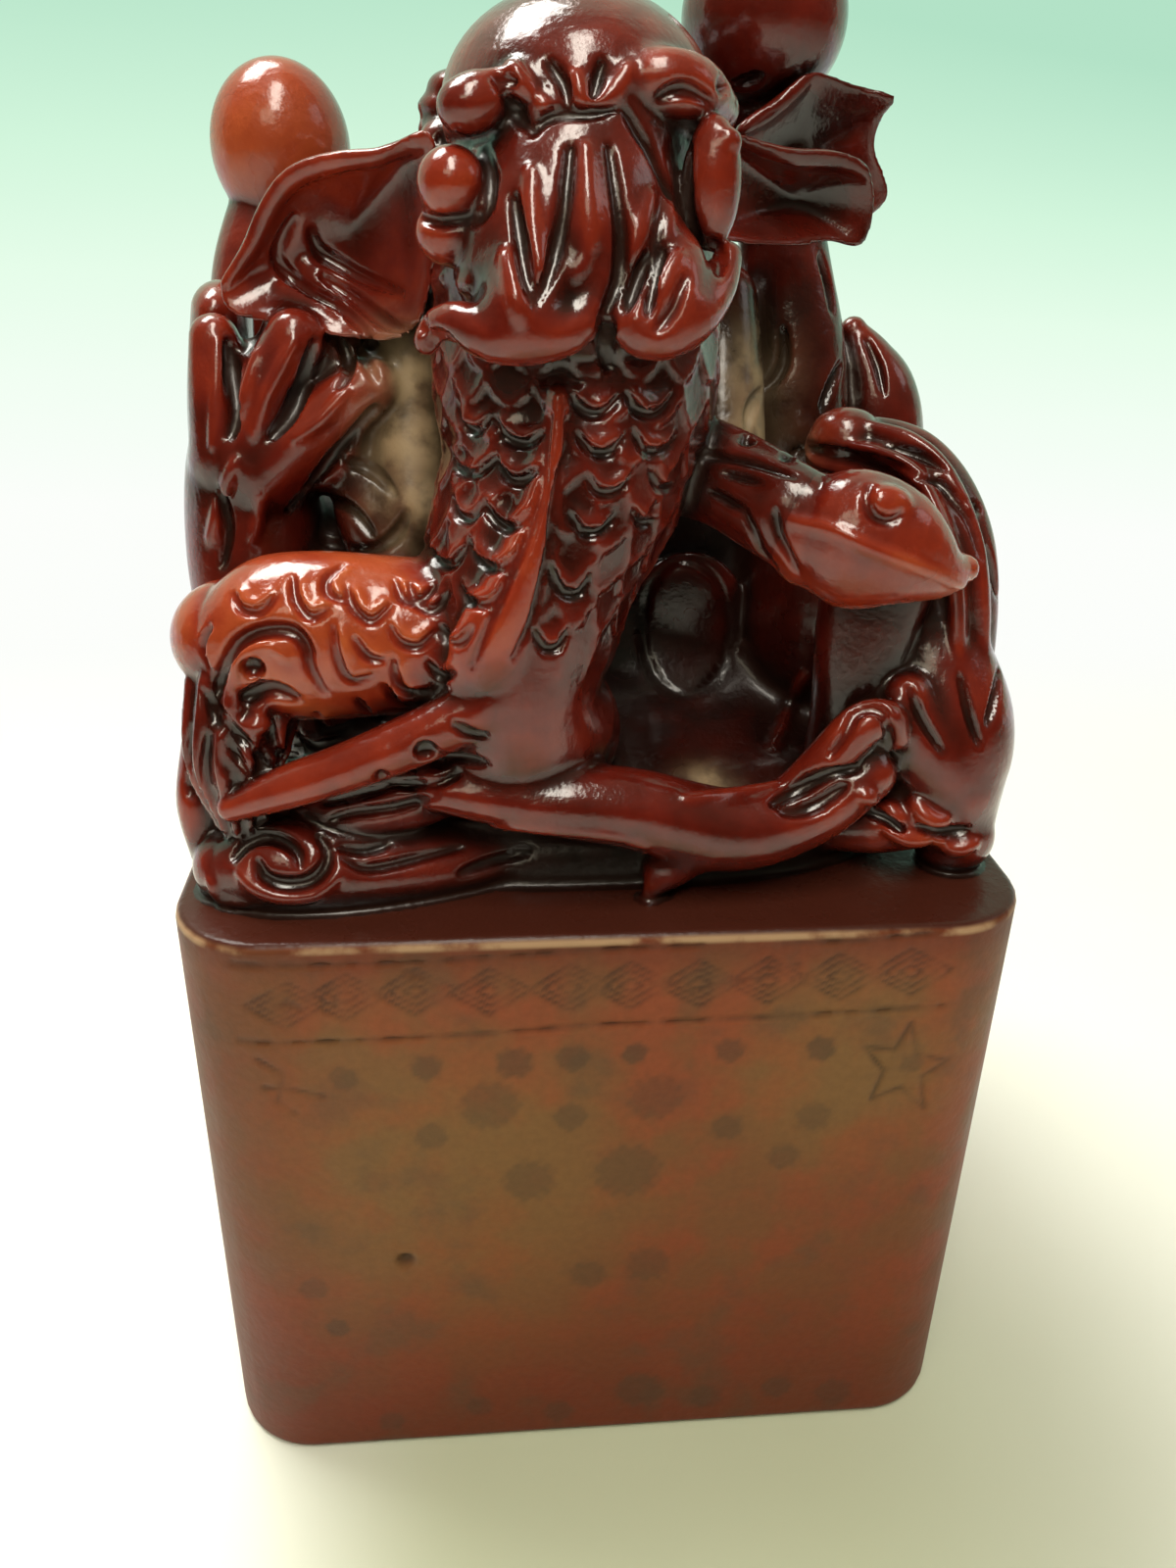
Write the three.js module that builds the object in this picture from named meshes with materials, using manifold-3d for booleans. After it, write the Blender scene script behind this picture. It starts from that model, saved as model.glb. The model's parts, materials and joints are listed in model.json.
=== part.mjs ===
// A seal stamp: a square block with a carved seal face below and a crouching scaled beast as its knob.
// Millimetres, +Z up, origin at the centre of the seal face. The front, which the beast faces, is at -Y.
// Left and right are the viewer's: left is at -X.
import * as THREE from "three";
import { mergeVertices } from "three/addons/utils/BufferGeometryUtils.js";
import Module from "manifold-3d";

const wasm = await Module();
wasm.setup();

// Block
const BLOCK_WIDTH = 60;
const BLOCK_DEPTH = 60;
const BLOCK_HEIGHT = 49;
const CORNER_RADIUS = 6.8;
const EDGE_ROUND = 1.1;

// Seal face, cut into the underside of the block
const SEAL_MARGIN = 4;
const SEAL_BAR = 2.6;
const SEAL_GROOVE = 2.9;
const SEAL_BRIDGE = 3.4;
const SEAL_DEPTH = 1.3;

// Knob
const KNOB_HEIGHT = 63;
const CLEARANCE = 0.3;
const SKULL_RADIUS = 8.4;
const MUZZLE_RADIUS = 8.8;
const SNOUT_RADIUS = 6.6;
const SNOUT_FLUTES = 8;
const FLUTE_DEPTH = 0.35;
const LIP_RADIUS = 1.9;
const BROW_RADIUS = 1.9;
const EYE_RADIUS = 2.3;
const NECK_RADIUS = 8.6;
const SCALE_LENGTH = 2.9;
const SCALE_LIFT = 0.45;
const SCALES_ROUND = 12;
const KEEL_RADIUS = 2.4;
const CHEST_RADIUS = 8;
const BELLY_RADIUS = 3;
const MEDALLION_RADIUS = 5.9;
const EAR_THICKNESS = 1.6;
const PEARL_RADIUS = 6;
const STALK_RADIUS = 3.3;
const LIMB_RADIUS = 4.6;
const TOE_RADIUS = 2.4;
const BAND_RADIUS = 1.9;
const FEATHERS = 7;
const DRAPE_WIDTH = 6.5;
const DRAPE_THICKNESS = 2.6;
const DRAPE_FLUTES = 8;
const TUFT_LOCKS = 6;
const SCROLL_RADIUS = 4.2;
const CURL_RADIUS = 2.3;
const CURL_THICKNESS = 0.95;
const TAIL_COIL_RADIUS = 6;
const TAIL_RADIUS = 2.4;
const CURL_TURNS = 1.3;
const HAUNCH_RADIUS = 10.5;
const SPINE_RADIUS = 6.5;

// The knob is drawn in units, so many across the block and so many up from the ledge,
// and then stretched to it.
const UNITS_ACROSS = 60;
const UNITS_UP = 63;
const STRETCH = [BLOCK_WIDTH / UNITS_ACROSS, BLOCK_DEPTH / UNITS_ACROSS, KNOB_HEIGHT / UNITS_UP];

const FRONT = new THREE.Vector3(0, -1, 0);
const UP = new THREE.Vector3(0, 0, 1);
const TAU = 2 * Math.PI;

// A size in millimetres as units of the knob, by the mean of its three stretches.
function units(size) {
  const [wide, deep, tall] = STRETCH;
  return size / Math.cbrt(wide * deep * tall);
}

// A place on the knob, in its units.
function at(x, y, z) {
  return new THREE.Vector3(x, y, z);
}

// A closed mesh as a solid that can be joined and cut.
function solidOf(geometry) {
  const bare = geometry.index ? geometry.toNonIndexed() : geometry.clone();
  bare.deleteAttribute("normal");
  bare.deleteAttribute("uv");
  const merged = mergeVertices(bare, 1e-4);
  const vertProperties = merged.attributes.position.array;
  const triVerts = new Uint32Array(merged.index.array);
  return new wasm.Manifold(new wasm.Mesh({ numProp: 3, vertProperties, triVerts }));
}

// The largest body of a solid, as a geometry.
function geometryOf(solid) {
  const bodies = solid.decompose();
  bodies.sort((one, other) => other.volume() - one.volume());
  const mesh = bodies[0].getMesh();
  const geometry = new THREE.BufferGeometry();
  geometry.setAttribute("position", new THREE.BufferAttribute(mesh.vertProperties, 3));
  geometry.setIndex(new THREE.BufferAttribute(mesh.triVerts, 1));
  return geometry;
}

// A closed skin over rings with equally many points, drawn together into a point at each end.
function skin(start, rings, end) {
  const sides = rings[0].length;
  const points = [start, ...rings.flat(), end];
  const index = [];
  const point = (ring, side) => 1 + ring * sides + (side % sides);
  for (let side = 0; side < sides; side++) {
    index.push(0, point(0, side + 1), point(0, side));
    for (let ring = 0; ring + 1 < rings.length; ring++) {
      const [a, b] = [point(ring, side), point(ring, side + 1)];
      const [c, d] = [point(ring + 1, side), point(ring + 1, side + 1)];
      index.push(a, b, c, b, d, c);
    }
    index.push(points.length - 1, point(rings.length - 1, side), point(rings.length - 1, side + 1));
  }
  const geometry = new THREE.BufferGeometry().setFromPoints(points);
  geometry.setIndex(index);
  return geometry;
}

// The numbers of a row at t from 0 to 1, on a Catmull-Rom curve through the given rows.
function between(rows, t) {
  const place = t * (rows.length - 1);
  const first = Math.min(Math.floor(place), rows.length - 2);
  const part = place - first;
  const row = (i) => rows[Math.max(0, Math.min(rows.length - 1, i))];
  return rows[0].map((_, k) => {
    const [a, b, c, d] = [-1, 0, 1, 2].map((step) => row(first + step)[k]);
    const bend = (2 * a - 5 * b + 4 * c - d) * part + (3 * b - a - 3 * c + d) * part * part;
    return b + 0.5 * part * (c - a + bend);
  });
}

// Reliefs raise a limb's skin by up to their peak, in units, along its length and round it.
const smooth = { peak: 0, height: () => 0 };

// Overlapping fish scales: each lifts towards its free end, and every other row is set off by half.
function scales(rows) {
  const lift = units(SCALE_LIFT);
  const height = (along, round) => {
    const row = along * rows;
    const set = Math.floor(row) % 2 ? 0.5 : 0;
    const across = ((round / TAU) * SCALES_ROUND + set) % 1;
    const free = Math.min(1, 2 * (row - Math.floor(row)));
    return lift * free * (1 - (2 * across - 1) ** 2);
  };
  return { peak: lift, height };
}

// Lengthwise flutes, so many round the limb.
function flutes(count) {
  const deep = units(FLUTE_DEPTH);
  return { peak: deep, height: (along, round) => deep * Math.cos(count * round) };
}

// Cross ribs, like the barbs of a folded feather.
function ribs(count) {
  const deep = units(FLUTE_DEPTH);
  return { peak: deep, height: (along) => deep * Math.cos(TAU * count * along) };
}

// A limb: an oval section carried along a path, with round ends.
// Each row is a place and the section's half width and half height, as shares of the girth.
// The half height lies along up. A grown limb is the smooth one that clears the relief.
function limb(girth, rows, { up = FRONT, steps = 5, sides = 9, caps = 2, relief = smooth } = {}) {
  const half = units(girth);
  const placed = rows.map(([x, y, z, wide, high = wide]) => [x, y, z, wide * half, high * half]);
  const centreAt = (t) => new THREE.Vector3(...between(placed, t).slice(0, 3));
  const headingAt = (t) => {
    const nudge = 1e-3;
    return centreAt(Math.min(1, t + nudge)).sub(centreAt(Math.max(0, t - nudge))).normalize();
  };
  return (grow = 0) => {
    const [, , , firstWide, firstHigh] = placed[0];
    const [, , , lastWide, lastHigh] = placed[placed.length - 1];
    const startReach = Math.min(firstWide, firstHigh) + grow;
    const endReach = Math.min(lastWide, lastHigh) + grow;
    const ringAt = (t, shift, share) => {
      const [, , , wide, high] = between(placed, t);
      const ahead = headingAt(t);
      const lift = up.clone().addScaledVector(ahead, -up.dot(ahead)).normalize();
      const side = lift.clone().cross(ahead);
      const centre = centreAt(t).addScaledVector(ahead, shift);
      return Array.from({ length: sides }, (_, i) => {
        const round = (TAU * i) / sides;
        const raised = grow > 0 ? grow + relief.peak : relief.height(t, round) * share;
        const across = (wide + raised) * share * Math.cos(round);
        const above = (high + raised) * share * Math.sin(round);
        return centre.clone().addScaledVector(side, across).addScaledVector(lift, above);
      });
    };
    const bends = Array.from({ length: caps }, (_, i) => (Math.PI * (i + 1)) / (2 * caps + 2));
    const rings = [
      ...bends.map((bend) => ringAt(0, -startReach * Math.cos(bend), Math.sin(bend))),
      ...Array.from({ length: steps + 1 }, (_, i) => ringAt(i / steps, 0, 1)),
      ...bends.reverse().map((bend) => ringAt(1, endReach * Math.cos(bend), Math.sin(bend))),
    ];
    const start = centreAt(0).addScaledVector(headingAt(0), -startReach);
    const end = centreAt(1).addScaledVector(headingAt(1), endReach);
    return solidOf(skin(start, rings, end));
  };
}

// A ball, stretched to shares of its radius along X, Y and Z.
function ball(radius, [x, y, z], [wide, deep, tall] = [1, 1, 1], sides = 12) {
  const size = units(radius);
  return (grow = 0) => {
    const geometry = new THREE.SphereGeometry(1, sides, Math.round(sides * 0.6));
    geometry.rotateX(Math.PI / 2);
    geometry.scale(wide * size + grow, deep * size + grow, tall * size + grow);
    geometry.translate(x, y, z);
    return solidOf(geometry);
  };
}

// A leaf: a dished sheet from a centre out to a closed rim, thickest in the middle, with a round edge.
// The rim runs anticlockwise as seen from the front.
function leaf(centre, rim, sides = 16, bands = 3) {
  const hollow = 1.8;
  const thick = units(EAR_THICKNESS) / 2;
  return (grow = 0) => {
    const middle = at(...centre);
    const edge = new THREE.CatmullRomCurve3(rim.map((place) => at(...place)), true);
    const ringAt = (share, face) =>
      Array.from({ length: sides }, (_, i) => {
        const spoke = edge.getPoint(i / sides).sub(middle);
        const out = spoke.dot(FRONT);
        const flat = spoke.clone().addScaledVector(FRONT, -out);
        const wider = 1 + grow / flat.length();
        const half = grow + thick * Math.sqrt(1 - 0.75 * share ** 6);
        const rise = out * share ** hollow + face * half;
        return middle.clone().addScaledVector(flat, share * wider).addScaledVector(FRONT, rise);
      });
    const shares = Array.from({ length: bands }, (_, i) => Math.sin((Math.PI * (i + 1)) / (2 * bands)));
    const back = shares.map((share) => ringAt(share, -1));
    const front = shares.reverse().map((share) => ringAt(share, 1));
    const half = thick + grow;
    const start = middle.clone().addScaledVector(FRONT, -half);
    const end = middle.clone().addScaledVector(FRONT, half);
    return solidOf(skin(start, [...back, ...front], end));
  };
}

// A curl: a tapering tube that winds inwards, seen from the front.
function curl(radius, thickness, [x, y, z], from) {
  const count = 12;
  const rows = Array.from({ length: count }, (_, i) => {
    const share = i / (count - 1);
    const turn = from + TAU * CURL_TURNS * share;
    const reach = units(radius) * (1 - 0.62 * share);
    const place = [x + reach * Math.cos(turn), y, z + reach * Math.sin(turn)];
    return [...place, 1 - 0.35 * share];
  });
  const shape = { steps: 6, sides: 6, caps: 1 };
  const seam = count / 2;
  return joined(limb(thickness, rows.slice(0, seam + 1), shape), limb(thickness, rows.slice(seam), shape));
}

// Several forms joined into one.
function joined(...forms) {
  return (grow = 0) => forms.map((form) => form(grow)).reduce((sum, form) => sum.add(form));
}

// A mound: level rings, squarer than ovals, each given as [height, left, right, front, back].
function mound(rows, sides = 18) {
  return (grow = 0) => {
    const square = (value) => Math.sign(value) * Math.abs(value) ** 0.7;
    const ringOf = ([height, left, right, front, back]) => {
      const low = at(left, front, height);
      const high = at(right, back, height);
      const middle = low.clone().lerp(high, 0.5);
      return Array.from({ length: sides }, (_, i) => {
        const round = (TAU * i) / sides;
        const across = ((high.x - low.x) / 2 + grow) * square(Math.cos(round));
        const along = ((high.y - low.y) / 2 + grow) * square(Math.sin(round));
        return middle.clone().add(new THREE.Vector3(across, along, 0));
      });
    };
    const centreOf = ([height, left, right, front, back]) =>
      at((left + right) / 2, (front + back) / 2, height);
    const top = centreOf(rows[rows.length - 1]).add(new THREE.Vector3(0, 0, 1 + grow));
    return solidOf(skin(centreOf(rows[0]), rows.map(ringOf), top));
  };
}

// The outline of the block, a square with round corners.
function blockOutline() {
  const [w, d, r] = [BLOCK_WIDTH / 2, BLOCK_DEPTH / 2, CORNER_RADIUS];
  const shape = new THREE.Shape();
  shape.moveTo(w, d - r);
  shape.absarc(w - r, d - r, r, 0, TAU / 4);
  shape.absarc(-w + r, d - r, r, TAU / 4, TAU / 2);
  shape.absarc(-w + r, -d + r, r, TAU / 2, (3 * TAU) / 4);
  shape.absarc(w - r, -d + r, r, (3 * TAU) / 4, TAU);
  return shape;
}

// One square groove of the seal face, left open by a bridge in the middle of one side.
function grooveRing(half, turned) {
  const inner = half - SEAL_GROOVE;
  const bridge = SEAL_BRIDGE / 2;
  const shape = new THREE.Shape();
  shape.moveTo(-bridge, half);
  shape.lineTo(-half, half);
  shape.lineTo(-half, -half);
  shape.lineTo(half, -half);
  shape.lineTo(half, half);
  shape.lineTo(bridge, half);
  shape.lineTo(bridge, inner);
  shape.lineTo(inner, inner);
  shape.lineTo(inner, -inner);
  shape.lineTo(-inner, -inner);
  shape.lineTo(-inner, inner);
  shape.lineTo(-bridge, inner);
  shape.closePath();
  const geometry = new THREE.ExtrudeGeometry(shape, { depth: 2 * SEAL_DEPTH, bevelEnabled: false });
  geometry.rotateZ(turned);
  geometry.translate(0, 0, -SEAL_DEPTH);
  return solidOf(geometry);
}

// The block: a rounded prism with soft edges and a fret of square grooves in its seal face.
function sealBlock() {
  const geometry = new THREE.ExtrudeGeometry(blockOutline(), {
    depth: BLOCK_HEIGHT - 2 * EDGE_ROUND,
    bevelThickness: EDGE_ROUND,
    bevelSize: EDGE_ROUND,
    bevelOffset: -EDGE_ROUND,
    bevelSegments: 2,
    curveSegments: 4,
  });
  geometry.translate(0, 0, EDGE_ROUND);
  let block = solidOf(geometry);
  const outermost = Math.min(BLOCK_WIDTH, BLOCK_DEPTH) / 2 - SEAL_MARGIN;
  const innermost = SEAL_GROOVE + SEAL_BRIDGE;
  let turned = 0;
  for (let half = outermost; half > innermost; half -= SEAL_BAR + SEAL_GROOVE) {
    block = block.subtract(grooveRing(half, turned));
    turned += TAU / 4;
  }
  return block;
}

const DEEP = 0x4a1410;
const RED = 0x7a1d12;
const BRIGHT = 0xb03a1c;

// The carved forms, from the small ones on the skin to the masses that carry them.
const carved = [];
function carve(name, color, raw) {
  carved.push({ name, color, raw });
}

// Head
carve("eye_right", BRIGHT, ball(EYE_RADIUS, [5, -21.2, 45.2], [0.75, 0.8, 1.55], 10));
carve("eye_left", BRIGHT, joined(
  ball(EYE_RADIUS, [-9.8, -21.8, 44.9], [0.86, 0.88, 0.86], 10),
  ball(EYE_RADIUS, [-9.7, -21, 42.3], [1, 0.85, 0.8], 8),
));
carve("brow_right", RED, limb(BROW_RADIUS, [
  [0, -20.6, 50.2, 0.5],
  [1.7, -20.9, 50.3, 0.85],
  [3.8, -20, 49.9, 0.95],
  [5.7, -17.6, 49.1, 0.7],
], { up: UP, steps: 4, sides: 8, caps: 1 }));
carve("brow_left", RED, joined(
  ball(BROW_RADIUS, [-8.9, -21.6, 48.7], [0.88, 0.9, 0.8], 10),
  limb(BROW_RADIUS, [
    [-4, -20.2, 50.1, 0.4],
    [-6, -21, 49.8, 0.55],
    [-8, -21.4, 49.2, 0.7],
  ], { up: UP, steps: 3, sides: 7, caps: 1 }),
));
carve("lip_right", BRIGHT, joined(
  limb(LIP_RADIUS, [
    [-0.4, -25.2, 38.4, 0.5],
    [0.5, -25.8, 37.6, 0.7],
    [2.2, -25.7, 37.5, 0.74],
    [3.9, -24.8, 38.4, 0.7],
    [5.3, -23.2, 39.9, 0.62],
    [6.1, -21.8, 41.4, 0.45],
  ], { up: UP, steps: 6, sides: 8 }),
  limb(LIP_RADIUS, [
    [1.7, -21.8, 43.2, 0.5],
    [2.6, -23, 41.1, 0.8],
    [2.2, -24.4, 38.8, 0.9],
  ], { up: UP, steps: 3, sides: 7, caps: 1 }),
));
carve("lip_left", BRIGHT, joined(
  limb(LIP_RADIUS, [
    [-2.4, -25.6, 38.6, 0.45],
    [-3.3, -26, 37.7, 0.66],
    [-5.4, -26.2, 37.2, 0.74],
    [-7.6, -25.8, 37.2, 0.74],
    [-9.5, -24.6, 37.8, 0.64],
    [-10.9, -23.4, 37.5, 0.5],
    [-11.5, -22.8, 36.6, 0.4],
  ], { up: UP, steps: 7, sides: 8 }),
  limb(LIP_RADIUS, [
    [-4.6, -22.4, 43.3, 0.6],
    [-5.5, -24, 40.8, 0.9],
    [-6.2, -24.9, 38.3, 1],
  ], { up: UP, steps: 3, sides: 7, caps: 1 }),
));
carve("mane_curls", DEEP, joined(
  ball(TOE_RADIUS, [-9.3, -7.6, 50.6], [0.85, 0.95, 0.42], 7),
  ball(TOE_RADIUS, [-9.9, -7.4, 49.4], [0.9, 1.05, 0.42], 7),
  ball(TOE_RADIUS, [-9.8, -7.6, 48], [0.95, 1.15, 0.5], 7),
));

// Throat, chest and the smooth bands that run from it. The keel lies on the front of the neck:
// each of its rows is a share of the way down the neck, a place across, and the shares of its own girth.
const neckRows = [
  [-2.1, -14.6, 38.5, 1.04, 0.92],
  [-2.2, -15.2, 33, 1.06, 0.98],
  [-3, -16.2, 27.6, 0.94, 1],
  [-4.8, -17.4, 23, 0.84, 0.98],
  [-6, -18.4, 18.6, 0.78, 0.93],
];
const keelRows = [
  [0.22, -3.9, 0.22, 0.5],
  [0.34, -4.1, 0.34, 0.55],
  [0.52, -5, 0.5, 0.6],
  [0.72, -6.2, 0.72, 0.66],
  [0.93, -8.1, 0.95, 0.7],
];
carve("throat_keel", BRIGHT, limb(KEEL_RADIUS, keelRows.map(([down, across, wide, high]) => {
  const [, y, z, , depth] = between(neckRows, down);
  return [across, y - depth * units(NECK_RADIUS), z, wide, high];
}), { steps: 7, sides: 8 }));
carve("wing_band", BRIGHT, limb(BAND_RADIUS, [
  [-5.3, -24.4, 17, 1, 0.8],
  [-8.1, -25.2, 15.2, 1, 0.95],
  [-12.3, -25.6, 13, 0.95, 0.95],
  [-16.9, -25.6, 11, 0.85, 0.9],
  [-21.5, -25.2, 9.2, 0.75, 0.85],
  [-25.2, -24.2, 7.5, 0.55, 0.7],
], { steps: 7, sides: 7 }));
carve("wing_feathers", DEEP, limb(LIMB_RADIUS, [
  [-8.8, -21.6, 9.1, 0.5],
  [-13.2, -21.8, 7.6, 0.64],
  [-18.2, -21.6, 6, 0.58],
  [-22.5, -21.2, 5.4, 0.36],
], { steps: 2 * FEATHERS, sides: 7, caps: 1, relief: ribs(FEATHERS) }));
carve("belly_lip", BRIGHT, joined(
  limb(BELLY_RADIUS, [
    [-11.5, -23.6, 8.5, 0.6, 0.8],
    [-5.6, -24.3, 7.8, 0.78, 0.95],
    [1.1, -24.6, 6.9, 0.92, 0.95],
    [8.1, -24.4, 4.9, 1, 0.92],
    [13.7, -23.8, 5.9, 0.88, 0.88],
    [18, -23, 8.5, 0.72, 0.78],
  ], { steps: 7, sides: 9 }),
  limb(BELLY_RADIUS, [
    [5.6, -24, 4, 0.82],
    [3.9, -24.6, 1.9, 0.56],
    [2.8, -25.2, 0.4, 0.18],
  ], { steps: 3, sides: 6, caps: 1 }),
));

// The fore leg on the right, with its paw laid over the knee
carve("hook_scroll", RED, joined(
  limb(BAND_RADIUS, [
    [12.7, -23.4, 7.4, 0.7],
    [15.1, -23.7, 10, 1.1],
    [17.1, -23.9, 12.4, 1.28],
  ], { steps: 5, sides: 9 }),
  ball(BAND_RADIUS, [18.6, -23.6, 11.8], [1.05, 0.95, 1.1], 9),
));
carve("paw_right", BRIGHT, joined(
  limb(LIMB_RADIUS, [
    [13.1, -21.6, 25.1, 0.8, 0.7],
    [15.2, -22.5, 24.9, 0.97, 0.8],
    [18, -22.8, 24.3, 0.86, 0.75],
    [21.3, -22.6, 23, 0.46, 0.5],
    [23.1, -22.4, 22.9, 0.2, 0.24],
  ], { steps: 6, caps: 1 }),
  ball(LIMB_RADIUS, [16.3, -25.4, 28.1], [0.3, 0.28, 0.3], 7),
));
carve("fore_leg_right", DEEP, limb(LIMB_RADIUS, [
  [4.6, -13, 28.2, 0.8, 0.62],
  [7.9, -17, 27.6, 0.72, 0.6],
  [11.1, -20.6, 26.2, 0.72, 0.62],
], { steps: 4 }));
carve("shin_right", DEEP, limb(LIMB_RADIUS, [
  [18.7, -18.6, 20.3, 0.86, 0.6],
  [18.1, -19, 16.2, 0.76, 0.6],
  [17.6, -19.4, 11.4, 0.62, 0.58],
  [17.2, -19.4, 6, 0.6, 0.56],
], { caps: 1 }));
carve("thigh_right", RED, joined(
  limb(LIMB_RADIUS, [
    [23, -16.6, 16, 0.95],
    [24.6, -18.6, 10.6, 1.12],
    [25.2, -19.6, 6, 1],
    [26, -21, 2.4, 0.66],
  ]),
  limb(LIMB_RADIUS, [
    [20.6, -21.6, 13.4, 0.42],
    [22.3, -21.6, 9.8, 0.6],
    [25.2, -21.2, 6.4, 0.66],
  ], { steps: 3, sides: 7, caps: 1 }),
));
carve("medallion", DEEP, ball(MEDALLION_RADIUS, [8, -4.9, 13.1], [0.8, 0.3, 1.02], 12));

// The ribbed drape of the tail, over the right side
carve("drape_knob", RED, ball(TOE_RADIUS, [17.9, -10.2, 29.4], [1.05, 0.95, 0.75], 10));
const drapeShare = DRAPE_THICKNESS / DRAPE_WIDTH;
carve("tail_drape", RED, limb(DRAPE_WIDTH, [
  [17.6, -8.4, 28, 0.5, 0.8 * drapeShare],
  [22.4, -11, 26.9, 0.78, drapeShare],
  [25.3, -13.8, 22.4, 0.98, drapeShare],
  [26.3, -14.9, 15, 1, drapeShare],
  [26.3, -14.9, 7, 0.9, 0.9 * drapeShare],
], { up: new THREE.Vector3(1, -0.3, 0.5), steps: 8, sides: 2 * DRAPE_FLUTES, relief: flutes(DRAPE_FLUTES) }));

// The scaled shoulder, its hair and the scrolls below it, on the left
carve("hair_tuft", RED, limb(LIMB_RADIUS, [
  [-24.4, -20.4, 14, 0.8],
  [-25.2, -21.8, 10, 0.68],
  [-25, -22.4, 6, 0.4],
], { steps: 3, sides: 2 * TUFT_LOCKS, caps: 1, relief: flutes(TUFT_LOCKS) }));
carve("side_roll", RED, limb(BAND_RADIUS, [
  [-27.9, -19.6, 9.8, 0.7],
  [-28.2, -20.4, 6, 0.86],
  [-27.8, -20.8, 2.6, 0.8],
], { steps: 4, sides: 8 }));
const scrollFront = -22.6 - 0.96 * units(SCROLL_RADIUS);
carve("cloud_scroll", RED, joined(
  limb(SCROLL_RADIUS, [
    [-26, -21.6, 1.8, 0.68, 0.8],
    [-22.4, -22.6, 2.2, 0.92, 0.96],
    [-17, -22.2, 1.8, 0.84, 0.94],
    [-11, -20.8, 1.4, 0.66, 0.86],
    [-4.6, -18.4, 1.2, 0.5, 0.74],
  ], { steps: 6 }),
  curl(CURL_RADIUS, CURL_THICKNESS, [-22.2, scrollFront + 0.8 * units(CURL_THICKNESS), 3], -2),
));
carve("shoulder_left", BRIGHT, limb(LIMB_RADIUS, [
  [-9, -19.4, 17.4, 1.1, 1.1],
  [-14.2, -19.9, 17.7, 1.15, 1.08],
  [-19, -20.1, 17.8, 1.22, 1.06],
  [-22.8, -19.8, 17.6, 1.16, 1.02],
  [-25.2, -19, 17.4, 0.84, 0.86],
], { steps: 8, sides: 2 * SCALES_ROUND, relief: scales(4) }));

// The raised hand on the left, its toes under the ear
carve("hand_left", RED, joined(
  limb(LIMB_RADIUS, [
    [-23.6, -7.4, 31.4, 0.8],
    [-24.6, -7.8, 26.4, 1],
    [-25, -8.8, 20.4, 1.02],
    [-24.8, -10.8, 14.6, 0.92],
  ], { steps: 5 }),
  limb(TOE_RADIUS, [
    [-26.2, -8.8, 35.1, 0.7],
    [-26.2, -9.6, 31.8, 0.82],
    [-26, -10, 27.6, 1],
  ], { steps: 2, sides: 6, caps: 1 }),
  limb(TOE_RADIUS, [
    [-20.6, -10.6, 35.4, 0.8],
    [-22.8, -10.6, 31.6, 0.95],
    [-24.6, -10.4, 27.2, 1.15],
  ], { steps: 2, sides: 6, caps: 1 }),
  limb(TOE_RADIUS, [
    [-15.8, -10.9, 32.4, 0.8],
    [-19.6, -11.2, 29.8, 0.95],
    [-23.2, -10.8, 26.6, 1.15],
  ], { steps: 2, sides: 6, caps: 1 }),
  limb(TOE_RADIUS, [
    [-20.8, -7.6, 34.8, 1.1],
    [-17.2, -7.8, 32.6, 1.2],
    [-19.2, -8.4, 28.4, 1.6],
  ], { steps: 2, sides: 6, caps: 1 }),
));
carve("side_fold", RED, limb(LIMB_RADIUS, [
  [-26.6, -2.6, 36.4, 0.9, 0.45],
  [-27.2, -2.8, 30, 1.1, 0.52],
  [-27.2, -3.4, 22, 1.2, 0.56],
  [-26.4, -5, 14, 1.1, 0.62],
], { up: new THREE.Vector3(-1, 0, 0) }));

// Ears, pearls and what they stand on
carve("ear_left", RED, leaf([-17.6, -6.4, 41.2], [
  [-10.9, -12.4, 42.2],
  [-11.1, -12.8, 47.6],
  [-14.5, -11.6, 46.6],
  [-18, -10.4, 46.3],
  [-20.7, -9.5, 45.2],
  [-22.5, -8.9, 43],
  [-23.8, -8.6, 40.6],
  [-25.4, -8.6, 38.3],
  [-24.5, -9.2, 36.7],
  [-20.6, -10.4, 36.3],
  [-16.7, -11, 35.5],
  [-12.5, -12.2, 36.3],
], 18));
carve("ear_right", DEEP, leaf([13.9, -5, 44.4], [
  [19.1, -6.5, 44.1],
  [18.1, -7.2, 46.6],
  [15.5, -8, 47.4],
  [11.8, -9.5, 47.4],
  [6.6, -11.2, 48.3],
  [5.9, -11.4, 45.6],
  [7, -10.6, 42.3],
  [12.6, -8.5, 41.6],
  [16, -7, 41.9],
  [18.5, -6.5, 41.7],
]));
carve("collar_leaf", DEEP, leaf([16.2, 2.4, 47.6], [
  [22.4, 1.4, 44.5],
  [20.9, 0.8, 48],
  [21.1, 0.4, 49.9],
  [21.6, -0.4, 51.2],
  [18.8, 0, 51.9],
  [15.3, -0.8, 52.5],
  [12.9, -1.2, 50.7],
  [10.5, -1.4, 49],
  [10.4, 0, 46.2],
  [12.4, 1.4, 42.3],
  [18, 1.6, 42],
]));
carve("stalk_right", DEEP, limb(STALK_RADIUS, [
  [13.2, 4.4, 50.2, 1],
  [15, 3.8, 43, 1],
  [15.7, 3.2, 38.4, 1.15],
  [16.4, 2.4, 33.4, 1.32],
  [16.4, 1.8, 28.2, 1.5],
  [17, 2.4, 21, 1.6],
], { steps: 6 }));
carve("pearl_right", BRIGHT, ball(PEARL_RADIUS, [12.7, 4, 56.2], [1, 1, 1.02], 14));
carve("stalk_left", RED, limb(STALK_RADIUS, [
  [-24, 9.8, 42.4, 1.1, 1.1],
  [-26.1, 8, 37, 0.95, 1.1],
  [-26, 7, 28, 1.05, 1.3],
  [-24.4, 8.6, 18, 1.5, 1.6],
], { steps: 5 }));
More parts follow.
